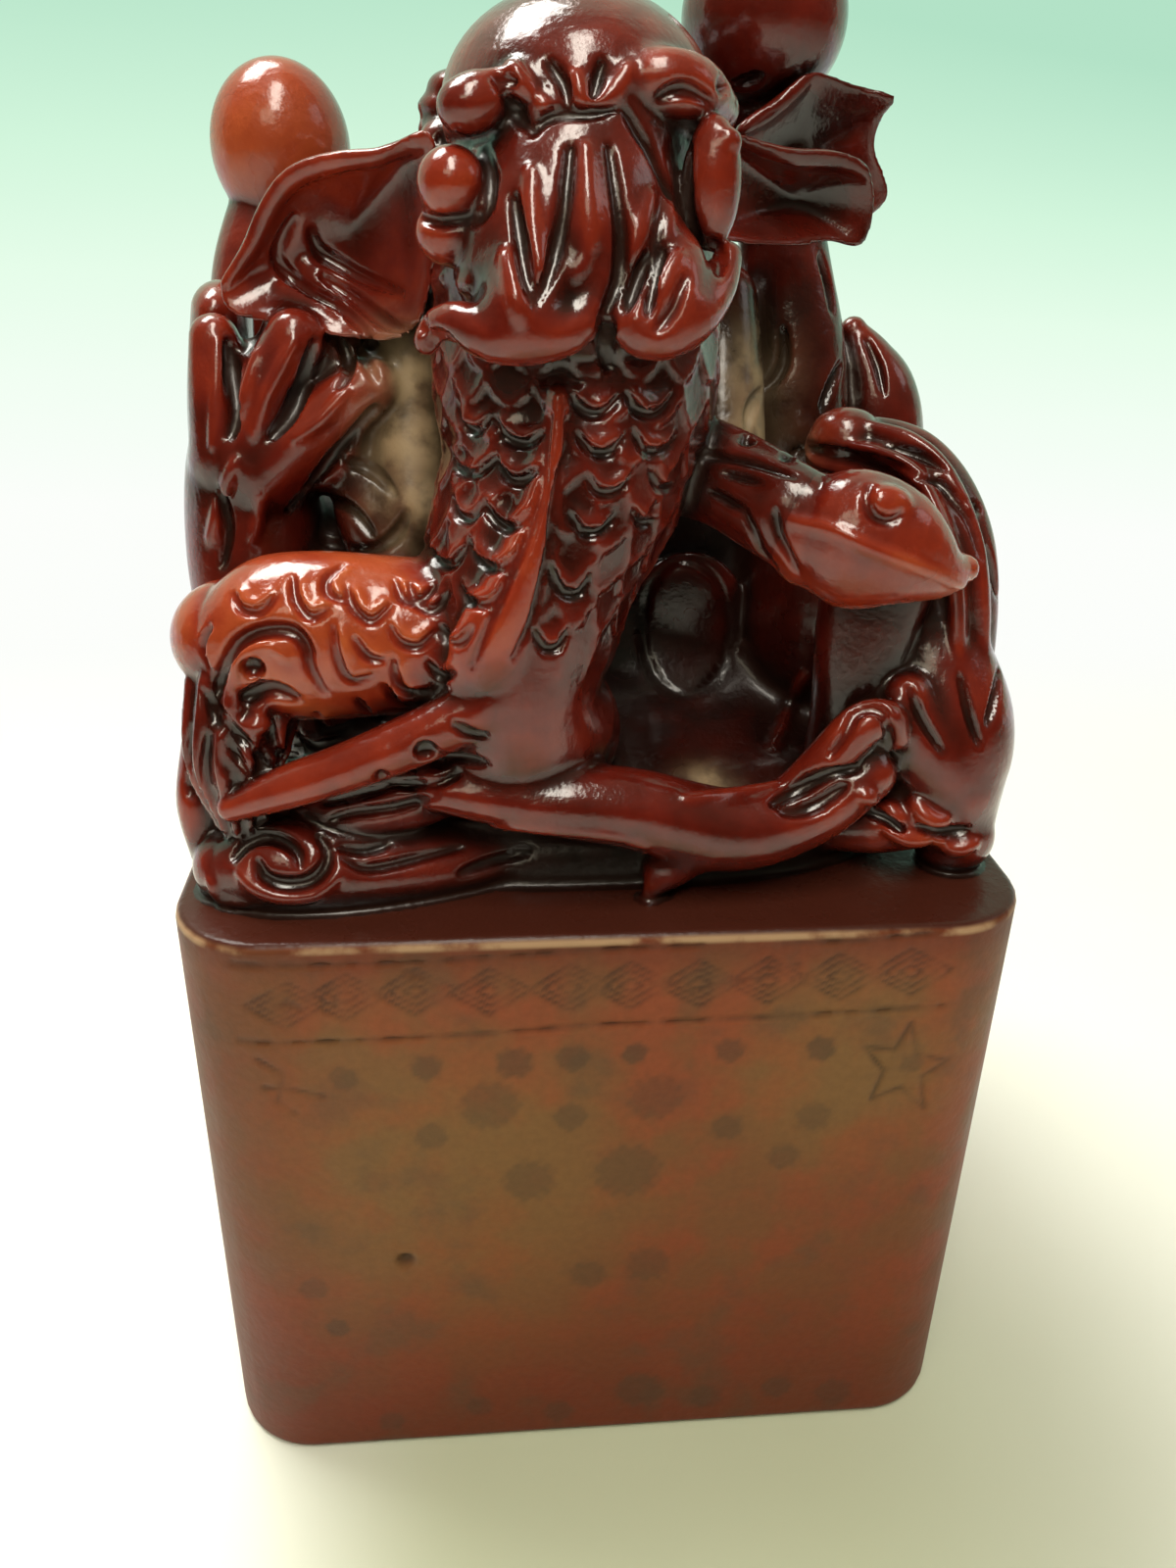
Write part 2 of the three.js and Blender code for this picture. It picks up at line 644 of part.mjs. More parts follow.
carve("pearl_left", BRIGHT, ball(PEARL_RADIUS, [-23.2, 9.8, 47.2], [0.88, 0.88, 1.02], 14));

// The masses that carry the rest
carve("snout", RED, limb(SNOUT_RADIUS, [
  [-2.2, -17.4, 48.6, 0.86, 0.6],
  [-2.5, -19.2, 45.4, 0.92, 0.7],
  [-3, -20.6, 42.4, 0.98, 0.76],
  [-3.3, -21.4, 40.2, 0.98, 0.7],
], { sides: 2 * SNOUT_FLUTES, relief: flutes(SNOUT_FLUTES) }));
carve("skull", RED, ball(SKULL_RADIUS, [-2.1, -13.2, 49], [1, 1.1, 0.8]));
carve("muzzle", RED, ball(MUZZLE_RADIUS, [-2.2, -15.2, 41], [1, 0.95, 0.95]));
const neckTop = at(...neckRows[0].slice(0, 3));
const neckFoot = at(...neckRows[neckRows.length - 1].slice(0, 3));
const neckScaleRows = Math.round(neckTop.distanceTo(neckFoot) / units(SCALE_LENGTH));
carve("neck", RED, limb(NECK_RADIUS, neckRows, {
  steps: 2 * neckScaleRows,
  sides: 2 * SCALES_ROUND,
  relief: scales(neckScaleRows),
}));
carve("chest", BRIGHT, limb(CHEST_RADIUS, [
  [-6, -18.6, 19, 0.8, 1],
  [-6.6, -19, 14.6, 0.78, 1.02],
  [-6.2, -18.4, 11, 0.86, 0.96],
  [-5.4, -17, 9.2, 0.86, 0.78],
], { steps: 5, sides: 14 }));
carve("nape", RED, limb(NECK_RADIUS, [
  [-2, -8, 47, 0.86, 0.8],
  [-1.6, -2, 46.4, 0.88, 0.84],
  [-1, 5, 42, 0.84, 0.84],
  [0, 11, 36, 0.8, 0.84],
], { up: UP, steps: 5, sides: 11 }));
carve("tail_coil", BRIGHT, curl(TAIL_COIL_RADIUS, TAIL_RADIUS, [1.1, 27.2, 8.6], 0.4));
const spineScaleRows = 6;
carve("spine", RED, limb(SPINE_RADIUS, [
  [0, 12, 37.4, 0.9, 1],
  [0.4, 18, 32, 0.95, 1],
  [0.8, 20.8, 24, 0.95, 0.95],
  [1, 22, 16, 0.8, 0.9],
  [1, 22.4, 10, 0.5, 0.7],
], {
  up: new THREE.Vector3(0, 1, 0.4),
  steps: 2 * spineScaleRows,
  sides: 2 * SCALES_ROUND,
  relief: scales(spineScaleRows),
}));
carve("rock_left", DEEP, joined(
  ball(LIMB_RADIUS, [-15.2, -10.6, 23.6], [0.9, 0.6, 0.8], 10),
  limb(LIMB_RADIUS, [
    [-13.4, -8, 35, 0.5],
    [-13.2, -9, 29.6, 0.62],
    [-13, -10.6, 24, 0.72],
  ], { steps: 3, sides: 8, caps: 1 }),
));
carve("rock_right", DEEP, limb(LIMB_RADIUS, [
  [10, -0.6, 37.4, 0.6],
  [9.8, -3, 32, 0.72],
  [9.6, -5.6, 26, 0.78],
], { steps: 3, sides: 8, caps: 1 }));
carve("hump_right", RED, limb(LIMB_RADIUS, [
  [21.9, 4.2, 35, 0.24],
  [22.9, 4, 33, 0.5],
  [24, 3.8, 30.2, 0.76],
  [24.4, 3.6, 26.4, 0.9],
  [24, 3, 20, 1],
], { steps: 5, caps: 1 }));
for (const [name, hand] of [["hind_leg_right", 1], ["hind_leg_left", -1]]) {
  carve(name, RED, joined(
    ball(HAUNCH_RADIUS, [hand * 19, 17.4, 12.4], [0.98, 1.05, 1.1]),
    limb(LIMB_RADIUS, [
      [hand * 21, 25, 8, 0.8],
      [hand * 18, 26, 4.6, 0.7],
      [hand * 12, 26.4, 2.6, 0.6],
    ], { up: UP, steps: 3, sides: 7, caps: 1 }),
  ));
}
carve("flank_right", DEEP, ball(HAUNCH_RADIUS, [20.4, 1, 14], [0.88, 1.2, 1.34]));
carve("flank_left", DEEP, ball(HAUNCH_RADIUS, [-20.4, 0, 12.4], [0.88, 1.24, 1.2]));
carve("rock_core", DEEP, mound([
  [0, -26.6, 26.8, -23.4, 27.4],
  [3, -26.6, 26.6, -22.4, 27.4],
  [6, -24.6, 24.6, -18.6, 26.4],
  [9, -22.6, 22.6, -9, 25.4],
  [15, -21.6, 21.6, -5.4, 24.6],
  [23, -20, 20, -3, 23],
  [31, -16.4, 17, -1, 20],
  [37, -11, 12.4, 1, 16],
  [40, -6, 7, 4, 12],
]));

// The masses keep their whole shape. Each smaller form is cut clear of them and of the block below,
// and then all are stretched from units to millimetres.
function carvedSolids() {
  const reach = 4 * UNITS_ACROSS;
  const below = new THREE.BoxGeometry(reach, reach, reach);
  below.translate(0, 0, -reach / 2);
  const ledge = solidOf(below);
  return carved.map(({ name, color, raw }, i) => {
    let solid = raw().subtract(ledge);
    for (const mass of carved.slice(i + 1)) solid = solid.subtract(mass.raw(units(CLEARANCE)));
    return { name, color, geometry: geometryOf(solid.scale(STRETCH)) };
  });
}

function named(name, geometry, color, roughness) {
  const material = new THREE.MeshStandardMaterial({ color, roughness, metalness: 0 });
  const mesh = new THREE.Mesh(geometry, material);
  mesh.name = name;
  return mesh;
}

const stamp = new THREE.Group();
stamp.add(named("seal_block", geometryOf(sealBlock()), 0x7c3420, 0.45));
const knob = new THREE.Group();
knob.position.z = BLOCK_HEIGHT;
for (const { name, color, geometry } of carvedSolids()) knob.add(named(name, geometry, color, 0.2));
stamp.add(knob);

export default stamp;
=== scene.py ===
# %% [markdown]
# # A carved seal stamp
# The stamp is one block of stone. Its lower half is a plain square prism, with a shallow pattern scratched
# into its front and a fret cut into its underside. Its upper half is carved into a crouching beast, then
# stained and lacquered until it shines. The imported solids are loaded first, and every piece is built in their
# frame.

# %% Load the frame
import json
import bpy
import numpy as np
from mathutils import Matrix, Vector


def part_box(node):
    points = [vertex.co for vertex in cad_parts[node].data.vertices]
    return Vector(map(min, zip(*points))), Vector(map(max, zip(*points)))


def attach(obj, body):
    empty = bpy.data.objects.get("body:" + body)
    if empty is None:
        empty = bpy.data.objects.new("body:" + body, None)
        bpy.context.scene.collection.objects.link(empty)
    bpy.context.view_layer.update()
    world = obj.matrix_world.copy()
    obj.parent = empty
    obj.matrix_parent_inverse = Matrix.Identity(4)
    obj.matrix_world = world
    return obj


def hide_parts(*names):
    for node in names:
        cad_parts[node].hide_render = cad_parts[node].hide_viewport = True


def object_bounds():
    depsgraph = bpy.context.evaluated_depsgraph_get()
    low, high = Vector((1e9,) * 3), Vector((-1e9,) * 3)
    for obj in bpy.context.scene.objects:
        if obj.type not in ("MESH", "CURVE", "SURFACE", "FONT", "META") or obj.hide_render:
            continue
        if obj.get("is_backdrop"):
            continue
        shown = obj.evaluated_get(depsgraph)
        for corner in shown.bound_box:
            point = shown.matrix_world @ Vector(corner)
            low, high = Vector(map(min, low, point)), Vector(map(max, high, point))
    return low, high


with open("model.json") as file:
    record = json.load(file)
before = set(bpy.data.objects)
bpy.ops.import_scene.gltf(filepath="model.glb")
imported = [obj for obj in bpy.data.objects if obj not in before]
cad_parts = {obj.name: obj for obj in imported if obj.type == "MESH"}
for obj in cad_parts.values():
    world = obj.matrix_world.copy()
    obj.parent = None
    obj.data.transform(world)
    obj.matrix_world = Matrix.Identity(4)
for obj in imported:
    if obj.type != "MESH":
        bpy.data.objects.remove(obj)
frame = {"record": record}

import openvdb as vdb
from mathutils import Matrix

cad_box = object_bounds()
MM = 0.001
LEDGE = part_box("seal_block")[1].z / MM
print("the ledge of the block is", round(LEDGE, 2), "mm up")

# %% [markdown]
# ## The camera
# The photograph was taken close, from in front and above, a little from the left. The place and the tilt come
# from the block's edges, whose lines meet where a camera with this lens would see them meet.

# %% Camera
WIDE, TALL = 1200, 1600
LENS, SENSOR = 37.5, 36
camera_place = np.array([-9.0, -98.5, 93.7])
yaw, pitch, roll = np.radians([5.7, 25.84, 1.38])
ahead = np.array([np.sin(yaw) * np.cos(pitch), np.cos(yaw) * np.cos(pitch), -np.sin(pitch)])
level = np.array([np.cos(yaw), -np.sin(yaw), 0.0])
above = np.cross(level, ahead)
right = level * np.cos(roll) + above * np.sin(roll)
top = above * np.cos(roll) - level * np.sin(roll)


def added(name, data):
    """A new object in the scene: a camera, a lamp or a mesh."""
    thing = bpy.data.objects.new(name, data)
    bpy.context.scene.collection.objects.link(thing)
    return thing


def set_down(thing, x, y, z, place):
    """Turn an object's own axes to three directions and put it at a place in metres."""
    thing.matrix_world = Matrix(np.vstack([np.column_stack([x, y, z, place]), [0, 0, 0, 1]]).tolist())


camera = added("camera", bpy.data.cameras.new("camera"))
camera.data.sensor_fit = "HORIZONTAL"
camera.data.sensor_width = SENSOR
camera.data.lens = LENS
camera.data.clip_start = 0.005
set_down(camera, right, top, -ahead, camera_place * MM)
bpy.context.scene.camera = camera
print("camera at", camera_place, "mm")

# %% [markdown]
# ## Forms as grids of points
# A carver first blocks out limbs, balls, leaves and curls, and then works the skin between them. The same
# forms are made here as closed skins over rings of points, each ring a row of one grid. Lengths are in
# millimetres, measured up from the ledge.

# %% A closed skin over rings
FRONT = np.array([0.0, -1.0, 0.0])
UP = np.array([0.0, 0.0, 1.0])


def skin(start, rings, end):
    """Points of a grid (rings by sides), closed by a point at each end, with its quads and end triangles."""
    count, sides = rings.shape[:2]
    points = np.vstack([[start], rings.reshape(-1, 3), [end]])
    ring, side = np.meshgrid(np.arange(count - 1), np.arange(sides), indexing="ij")
    corner = lambda r, s: 1 + r * sides + s % sides
    quads = np.stack([corner(ring, side), corner(ring, side + 1), corner(ring + 1, side + 1),
                      corner(ring + 1, side)], -1).reshape(-1, 4)
    side = np.arange(sides)
    first = np.stack([np.zeros(sides, int), corner(0, side + 1), corner(0, side)], -1)
    last = [np.full(sides, len(points) - 1), corner(count - 1, side), corner(count - 1, side + 1)]
    return points, quads, np.vstack([first, np.stack(last, -1)])


def unit(rows):
    """The same directions at length one."""
    return rows / np.maximum(np.linalg.norm(rows, axis=-1, keepdims=True), 1e-6)


def cubic(a, b, c, d, part):
    """A part of the way from b to c, with slopes that come from the rows on either side."""
    return b + 0.5 * part * (c - a + part * (2 * a - 5 * b + 4 * c - d + part * (3 * b - a - 3 * c + d)))


def through(rows, t):
    """Places on a smooth curve through the rows, at shares t of its length in rows."""
    rows = np.asarray(rows, float)
    place = np.clip(t, 0, 1) * (len(rows) - 1)
    first = np.minimum(place.astype(int), len(rows) - 2)
    part = (place - first)[:, None]
    return cubic(*(rows[np.clip(first + step, 0, len(rows) - 1)] for step in (-1, 0, 1, 2)), part)


# %% Limbs, balls and curls
END_RINGS = 8
RELIEF_STEP, PLAIN_STEP = 0.25, 0.6


def limb(girth, rows, up=FRONT, relief=None, sides=48):
    """An oval section carried along a curve through the rows (x, y, z, half width, half height as shares of
    the girth), with half an ellipsoid at each end. A relief adds to both halves by the distance along the
    limb and the angle round it."""
    rows = [list(row) + [row[3]] if len(row) == 4 else list(row) for row in rows]
    fine = np.linspace(0, 1, 400)
    path = through(rows, fine)[:, :3]
    travelled = np.concatenate([[0], np.cumsum(np.linalg.norm(np.diff(path, axis=0), axis=1))])
    steps = max(12, int(travelled[-1] / (RELIEF_STEP if relief else PLAIN_STEP)))
    bends = np.pi / 2 * np.arange(1, END_RINGS + 1) / (END_RINGS + 1)
    middle = np.linspace(0, 1, steps + 1)
    t = np.concatenate([np.zeros(END_RINGS), middle, np.ones(END_RINGS)])
    placed = through(rows, t)
    before, after = through(rows, np.maximum(t - 1e-3, 0)), through(rows, np.minimum(t + 1e-3, 1))
    heading = unit((after - before)[:, :3])
    lift = unit(up - heading * (heading @ up)[:, None])
    side = np.cross(lift, heading)
    reach = placed[:, 3:5].min(1) * girth
    shift = np.concatenate([-np.cos(bends), np.zeros(steps + 1), np.cos(bends[::-1])]) * reach
    share = np.concatenate([np.sin(bends), np.ones(steps + 1), np.sin(bends[::-1])])[:, None]
    centre = placed[:, :3] + heading * shift[:, None]
    angle = np.linspace(0, 2 * np.pi, sides, endpoint=False)[None, :]
    along = np.interp(t, fine, travelled)[:, None]
    raised = relief(along, angle) if relief else 0.0
    wide = (placed[:, 3:4] * girth + raised) * share * np.cos(angle)
    high = (placed[:, 4:5] * girth + raised) * share * np.sin(angle)
    rings = centre[:, None] + side[:, None] * wide[..., None] + lift[:, None] * high[..., None]
    start = placed[0, :3] - heading[0] * reach[0]
    end = placed[-1, :3] + heading[-1] * reach[-1]
    return skin(start, rings, end)


def ball(radius, centre, shares=(1, 1, 1), sides=64):
    """A sphere by longitude and latitude, stretched to its shares of the radius along x, y and z."""
    tilt = np.linspace(0, np.pi, sides // 2 + 1)[1:-1, None]
    angle = np.linspace(0, 2 * np.pi, sides, endpoint=False)[None, :]
    sphere = [np.sin(tilt) * np.cos(angle), np.sin(tilt) * np.sin(angle), -np.cos(tilt) + 0 * angle]
    size = radius * np.array(shares)
    centre = np.array(centre, float)
    return skin(centre - size * UP, centre + np.stack(sphere, -1) * size, centre + size * UP)


def curl(radius, thickness, centre, start, turns=1.3, shrink=0.62, taper=0.35):
    """A tube whose middle line is a spiral. Its reach and its girth fall evenly as the angle grows."""
    share = np.linspace(0, 1, 14)
    turn = start + 2 * np.pi * turns * share
    reach = radius * (1 - shrink * share)
    x, y, z = centre
    rows = [x + reach * np.cos(turn), y + 0 * share, z + reach * np.sin(turn), 1 - taper * share]
    return limb(thickness, np.stack(rows, -1).tolist(), sides=24)


# %% Leaves and the mound
def leaf(centre, rim, thickness=1.6, hollow=1.8):
    """A dished sheet: rings run from the middle of its back out to the rim and in again to the middle of its
    front. A ring at a share of the way out rises towards the front by the rim's own rise times that share to
    the power of the hollow."""
    rim = np.array(rim, float)
    sides, bands = 120, 18
    place = np.linspace(0, len(rim), sides, endpoint=False)
    first, part = place.astype(int), (place % 1)[:, None]
    edge = cubic(*(rim[(first + step) % len(rim)] for step in (-1, 0, 1, 2)), part)
    spoke = edge - np.array(centre, float)
    out = spoke @ FRONT
    flat = spoke - out[:, None] * FRONT
    share = np.sin(np.pi / 2 * np.arange(1, bands + 1) / bands)
    share = np.concatenate([share, share[::-1]])[:, None]
    face = np.concatenate([-np.ones(bands), np.ones(bands)])[:, None]
    rise = out[None] * share ** hollow + face * thickness / 2 * np.sqrt(1 - 0.75 * share ** 6)
    rings = np.array(centre) + share[..., None] * flat[None] + rise[..., None] * FRONT
    return skin(centre - FRONT * thickness / 2, rings, centre + FRONT * thickness / 2)


def mound(rows, sides=120):
    """Level rings given as height, left, right, front and back, each a superellipse: cosine and sine keep
    their sign and are raised to the power 0.7."""
    rows = through(rows, np.linspace(0, 1, 90))
    height, low_x, high_x, low_y, high_y = rows.T[:, :, None]
    angle = np.linspace(0, 2 * np.pi, sides, endpoint=False)[None, :]
    square = lambda value: np.sign(value) * np.abs(value) ** 0.7
    x = (low_x + high_x) / 2 + (high_x - low_x) / 2 * square(np.cos(angle))
    y = (low_y + high_y) / 2 + (high_y - low_y) / 2 * square(np.sin(angle))
    rings = np.stack([x, y, height + 0 * angle], -1)
    start, end = rings[0].mean(0), rings[-1].mean(0) + UP
    return skin(start, rings, end)


# %% [markdown]
# ## Reliefs
# The neck and the back carry fish scales: each lifts towards its free end, and every other row is set off by
# half a scale. The hair behind the wing and the hanging drape of the tail are fluted along their length.

# %% Scales and flutes
def fish_scales(length, count, lift):
    """Each scale starts at its row's line and ends on a half ellipse past the next line. Its height grows
    with the distance from its start, with a rim on its free edge and a dish inside it. Where two rows lie
    over one another, the upper one is what shows."""
    def height(along, angle):
        total = np.zeros(np.broadcast(along, angle).shape)
        taken = np.zeros(total.shape, bool)
        for back in (2, 1, 0):
            row = np.floor(along / length) - back
            rise = along - row * length
            across = (angle / (2 * np.pi) * count + 0.5 * (row % 2)) % 1 * 2 - 1
            edge = length * (0.75 + 1.05 * np.sqrt(np.clip(1 - across ** 2, 0, 1)))
            inside = (rise < edge) & ~taken
            to_edge = edge - rise
            value = lift * (rise / edge) ** 1.3 + 0.25 * lift * np.exp(-(to_edge / 0.45) ** 2)
            dish = 0.35 * lift * np.exp(-((to_edge - 0.42 * edge) / (0.3 * edge)) ** 2) * (1 - across ** 2)
            total = np.where(inside, value - dish, total)
            taken |= inside
        return total
    return height


def flutes(count, depth):
    """The cosine of so many times the angle."""
    return lambda along, angle: depth * np.cos(count * angle) + 0 * along


# %% [markdown]
# ## The carved forms
# Each form of the beast is listed with its skins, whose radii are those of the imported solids. The warmth says
# how much orange shows in the lacquer there: raised forms were rubbed through to the orange layer, and the
# sunk ones stayed almost black.

# %% Sizes of the forms
SKULL_RADIUS, MUZZLE_RADIUS, SNOUT_RADIUS = 8.4, 8.8, 6.6
NECK_RADIUS, CHEST_RADIUS, BELLY_RADIUS = 8.6, 8, 3
LIP_RADIUS, BROW_RADIUS, EYE_RADIUS, KEEL_RADIUS = 1.9, 1.9, 2.3, 2.4
LIMB_RADIUS, TOE_RADIUS, BAND_RADIUS, SCROLL_RADIUS = 4.6, 2.4, 1.9, 4.2
HAUNCH_RADIUS, SPINE_RADIUS, TAIL_COIL_RADIUS, TAIL_RADIUS = 10.5, 6.5, 6, 2.4
STALK_RADIUS, PEARL_RADIUS, MEDALLION_RADIUS, DRAPE_WIDTH = 3.3, 6, 5.9, 6.5

# %% The list of forms
forms = []


def form(name, warmth, *skins, soft=1.1):
    """Keep a form, with the width in mm over which its surface melts into its neighbours."""
    forms.append({"name": name, "warmth": warmth, "skins": skins, "soft": soft})


form("eye_right", 0.4, ball(EYE_RADIUS, [5, -21.2, 45.2], [0.75, 0.8, 1.55]), soft=0.4)
form("eye_left", 0.6, ball(EYE_RADIUS, [-9.8, -21.8, 44.9], [0.86, 0.88, 0.86]), ball(EYE_RADIUS,
    [-9.7, -21, 42.3], [1, 0.85, 0.8]), soft=0.4)
form("brow_right", 0.4, limb(BROW_RADIUS, [[0, -20.6, 50.2, 0.5], [1.7, -20.9, 50.3, 0.85],
    [3.8, -20, 49.9, 0.95], [5.7, -17.6, 49.1, 0.7]], up=UP), soft=0.8)
form("brow_left", 0.4, ball(BROW_RADIUS, [-8.9, -21.6, 48.7], [0.88, 0.9, 0.8]), limb(BROW_RADIUS,
    [[-4, -20.2, 50.1, 0.4], [-6, -21, 49.8, 0.55], [-8, -21.4, 49.2, 0.7]], up=UP), soft=0.7)
form("lip_right", 0.35, limb(LIP_RADIUS, [[-0.4, -25.2, 38.4, 0.5], [0.5, -25.8, 37.6, 0.7],
    [2.2, -25.7, 37.5, 0.74], [3.9, -24.8, 38.4, 0.7], [5.3, -23.2, 39.9, 0.62], [6.1, -21.8, 41.4, 0.45]],
    up=UP), limb(LIP_RADIUS, [[1.7, -21.8, 43.2, 0.5], [2.7, -23.3, 41.1, 0.95], [2.4, -24.7, 38.9, 1.15]],
    up=UP), soft=1.5)
form("lip_left", 0.42, limb(LIP_RADIUS, [[-2.4, -25.6, 38.6, 0.45], [-3.3, -26, 37.7, 0.66],
    [-5.4, -26.2, 37.2, 0.74], [-7.6, -25.8, 37.2, 0.74], [-9.5, -24.6, 37.8, 0.64],
    [-10.9, -23.4, 37.5, 0.5], [-11.5, -22.8, 36.6, 0.4]], up=UP), limb(LIP_RADIUS,
    [[-4.6, -22.4, 43.3, 0.6], [-5.4, -24.2, 40.8, 1.1], [-6, -25.2, 38.5, 1.25]], up=UP), soft=1.5)
form("mane_curls", 0.3, ball(TOE_RADIUS, [-9.3, -7.6, 50.6], [0.85, 0.95, 0.42]), ball(TOE_RADIUS,
    [-9.9, -7.4, 49.4], [0.9, 1.05, 0.42]), ball(TOE_RADIUS, [-9.8, -7.6, 48], [0.95, 1.15, 0.5]), soft=0.3)
form("throat_keel", 0.6, limb(KEEL_RADIUS, [[-3.9, -23.5, 33.7, 0.22, 0.5], [-4.1, -24.1, 30.9, 0.34, 0.55],
    [-5, -24.9, 27.3, 0.5, 0.6], [-6.2, -25.7, 23.6, 0.72, 0.66], [-8.1, -26.1, 19.5, 0.95, 0.7],
    [-9.4, -25.6, 16.6, 0.7, 0.5]]), soft=1.1)
form("wing_band", 0.45, limb(BAND_RADIUS, [[-5.3, -24.4, 17, 1, 0.8], [-8.1, -25.2, 15.2, 1, 0.95],
    [-12.3, -25.6, 13, 0.95, 0.95], [-16.9, -25.6, 11, 0.85, 0.9], [-21.5, -25.2, 9.2, 0.75, 0.85],
    [-25.2, -24.2, 7.5, 0.55, 0.7]]), soft=0.7)
form("wing_feathers", 0.25, limb(LIMB_RADIUS, [[-8.8, -21.6, 9.1, 0.5], [-13.2, -21.8, 7.6, 0.64],
    [-18.2, -21.6, 6, 0.58], [-22.5, -21.2, 5.4, 0.36]]), soft=0.5)
form("belly_lip", 0.4, limb(BELLY_RADIUS, [[-11.5, -23.6, 8.5, 0.6, 0.8], [-5.6, -24.3, 7.8, 0.78, 0.95],
    [1.1, -24.6, 6.9, 0.92, 0.95], [8.1, -24.4, 4.9, 1, 0.92], [13.7, -23.8, 5.9, 0.88, 0.88],
    [18, -23, 8.5, 0.72, 0.78]]), limb(BELLY_RADIUS, [[5.6, -24, 4, 0.82], [3.9, -24.6, 1.9, 0.56],
    [2.8, -25.2, 0.4, 0.18]]), soft=1.0)
form("hook_scroll", 0.4, limb(BAND_RADIUS, [[12.7, -23.4, 7.4, 0.6], [15, -23.8, 10, 0.8],
    [16.9, -24, 12.4, 0.82], [18.7, -23.8, 12.9, 0.66], [19.6, -23.6, 11.4, 0.5]]), limb(BAND_RADIUS,
    [[15.4, -22.4, 8.6, 0.8], [17.4, -22.4, 10.6, 0.9]]), soft=0.7)
form("paw_right", 0.62, limb(LIMB_RADIUS, [[13.1, -21.6, 25.1, 0.8, 0.7], [15.2, -22.5, 24.9, 0.97, 0.8],
    [18, -22.8, 24.3, 0.86, 0.75], [21.3, -22.6, 23, 0.46, 0.5], [23.1, -22.4, 22.9, 0.2, 0.24]]),
    ball(LIMB_RADIUS, [16.3, -24.9, 27.7], [0.34, 0.2, 0.24]), soft=0.7)
form("fore_leg_right", 0.25, limb(LIMB_RADIUS, [[4.6, -13, 28.2, 0.8, 0.62], [7.9, -17, 27.6, 0.72, 0.6],
    [11.1, -20.6, 26.2, 0.72, 0.62]]), soft=0.7)
form("shin_right", 0.2, limb(LIMB_RADIUS, [[18.7, -18.6, 20.3, 0.86, 0.6], [18.1, -19, 16.2, 0.76, 0.6],
    [17.6, -19.4, 11.4, 0.62, 0.58], [17.2, -19.4, 6, 0.6, 0.56]]), soft=0.6)
form("thigh_right", 0.5, limb(LIMB_RADIUS, [[23, -16.6, 16, 0.95], [24.6, -18.6, 10.6, 1.12],
    [25.2, -19.6, 6, 1], [26, -21, 2.4, 0.66]]), limb(LIMB_RADIUS, [[20.6, -21.6, 13.4, 0.42],
    [22.3, -21.6, 9.8, 0.6], [25.2, -21.2, 6.4, 0.66]]), limb(BELLY_RADIUS, [[16.6, -20.6, 2.6, 0.5],
    [19.6, -21.4, 3.6, 0.76], [22.8, -22.2, 4.6, 0.8]]), soft=0.9)
form("medallion", 0.15, ball(MEDALLION_RADIUS, [8, -4.9, 13.1], [0.86, 0.2, 1.06]), soft=0.5)
form("drape_knob", 0.45, ball(TOE_RADIUS, [17.9, -10.2, 29.4], [1.05, 0.95, 0.75]), soft=0.5)
form("tail_drape", 0.35, limb(DRAPE_WIDTH, [[17.6, -8.4, 28, 0.5, 0.32], [22.4, -11, 26.9, 0.78, 0.4],
    [25.3, -13.8, 22.4, 0.98, 0.4], [26.3, -14.9, 15, 1, 0.4], [26.3, -14.9, 7, 0.9, 0.36]],
    up=np.array([1, -0.3, 0.5]), relief=flutes(8, 0.45), sides=160), soft=0.6)
form("hair_tuft", 0.3, limb(LIMB_RADIUS, [[-24.4, -20.4, 14, 0.8], [-25.2, -21.8, 10, 0.68],
    [-25, -22.4, 6, 0.4]], relief=flutes(11, 0.3), sides=200), soft=0.3)
form("side_roll", 0.45, limb(BAND_RADIUS, [[-27.9, -19.6, 9.8, 0.7], [-28.2, -20.4, 6, 0.86],
    [-27.8, -20.8, 2.6, 0.8]]), soft=0.4)
form("cloud_scroll", 0.28, limb(SCROLL_RADIUS, [[-26, -21.6, 1.8, 0.68, 0.8],
    [-22.4, -22.6, 2.2, 0.92, 0.96], [-17, -22.2, 1.8, 0.84, 0.94], [-11, -20.8, 1.4, 0.66, 0.86],
    [-4.6, -18.4, 1.2, 0.5, 0.74]]), soft=0.5)
form("shoulder_left", 0.98, limb(LIMB_RADIUS, [[-9, -19.4, 17.4, 1.1, 1.1],
    [-14.2, -19.9, 17.7, 1.15, 1.08], [-19, -20.1, 17.8, 1.22, 1.06], [-22.8, -19.8, 17.6, 1.16, 1.02],
    [-25.2, -19, 17.4, 0.84, 0.86]]), soft=1)
form("hand_left", 0.4, limb(LIMB_RADIUS, [[-23.6, -7.4, 31.4, 0.8], [-24.6, -7.8, 26.4, 1],
    [-25, -8.8, 20.4, 1.02], [-24.8, -10.8, 14.6, 0.92]]), limb(TOE_RADIUS, [[-26.2, -8.8, 35.1, 0.7],
    [-26.2, -9.6, 31.8, 0.82], [-26, -10, 27.6, 1]]), limb(TOE_RADIUS, [[-20.6, -10.6, 35.4, 0.8],
    [-22.8, -10.6, 31.6, 0.95], [-24.6, -10.4, 27.2, 1.15]]), limb(TOE_RADIUS, [[-15.8, -10.9, 32.4, 0.8],
    [-19.6, -11.2, 29.8, 0.95], [-23.2, -10.8, 26.6, 1.15]]), limb(TOE_RADIUS, [[-20.8, -7.6, 34.8, 1.1],
    [-17.2, -7.8, 32.6, 1.2], [-19.2, -8.4, 28.4, 1.6]]), soft=0.7)
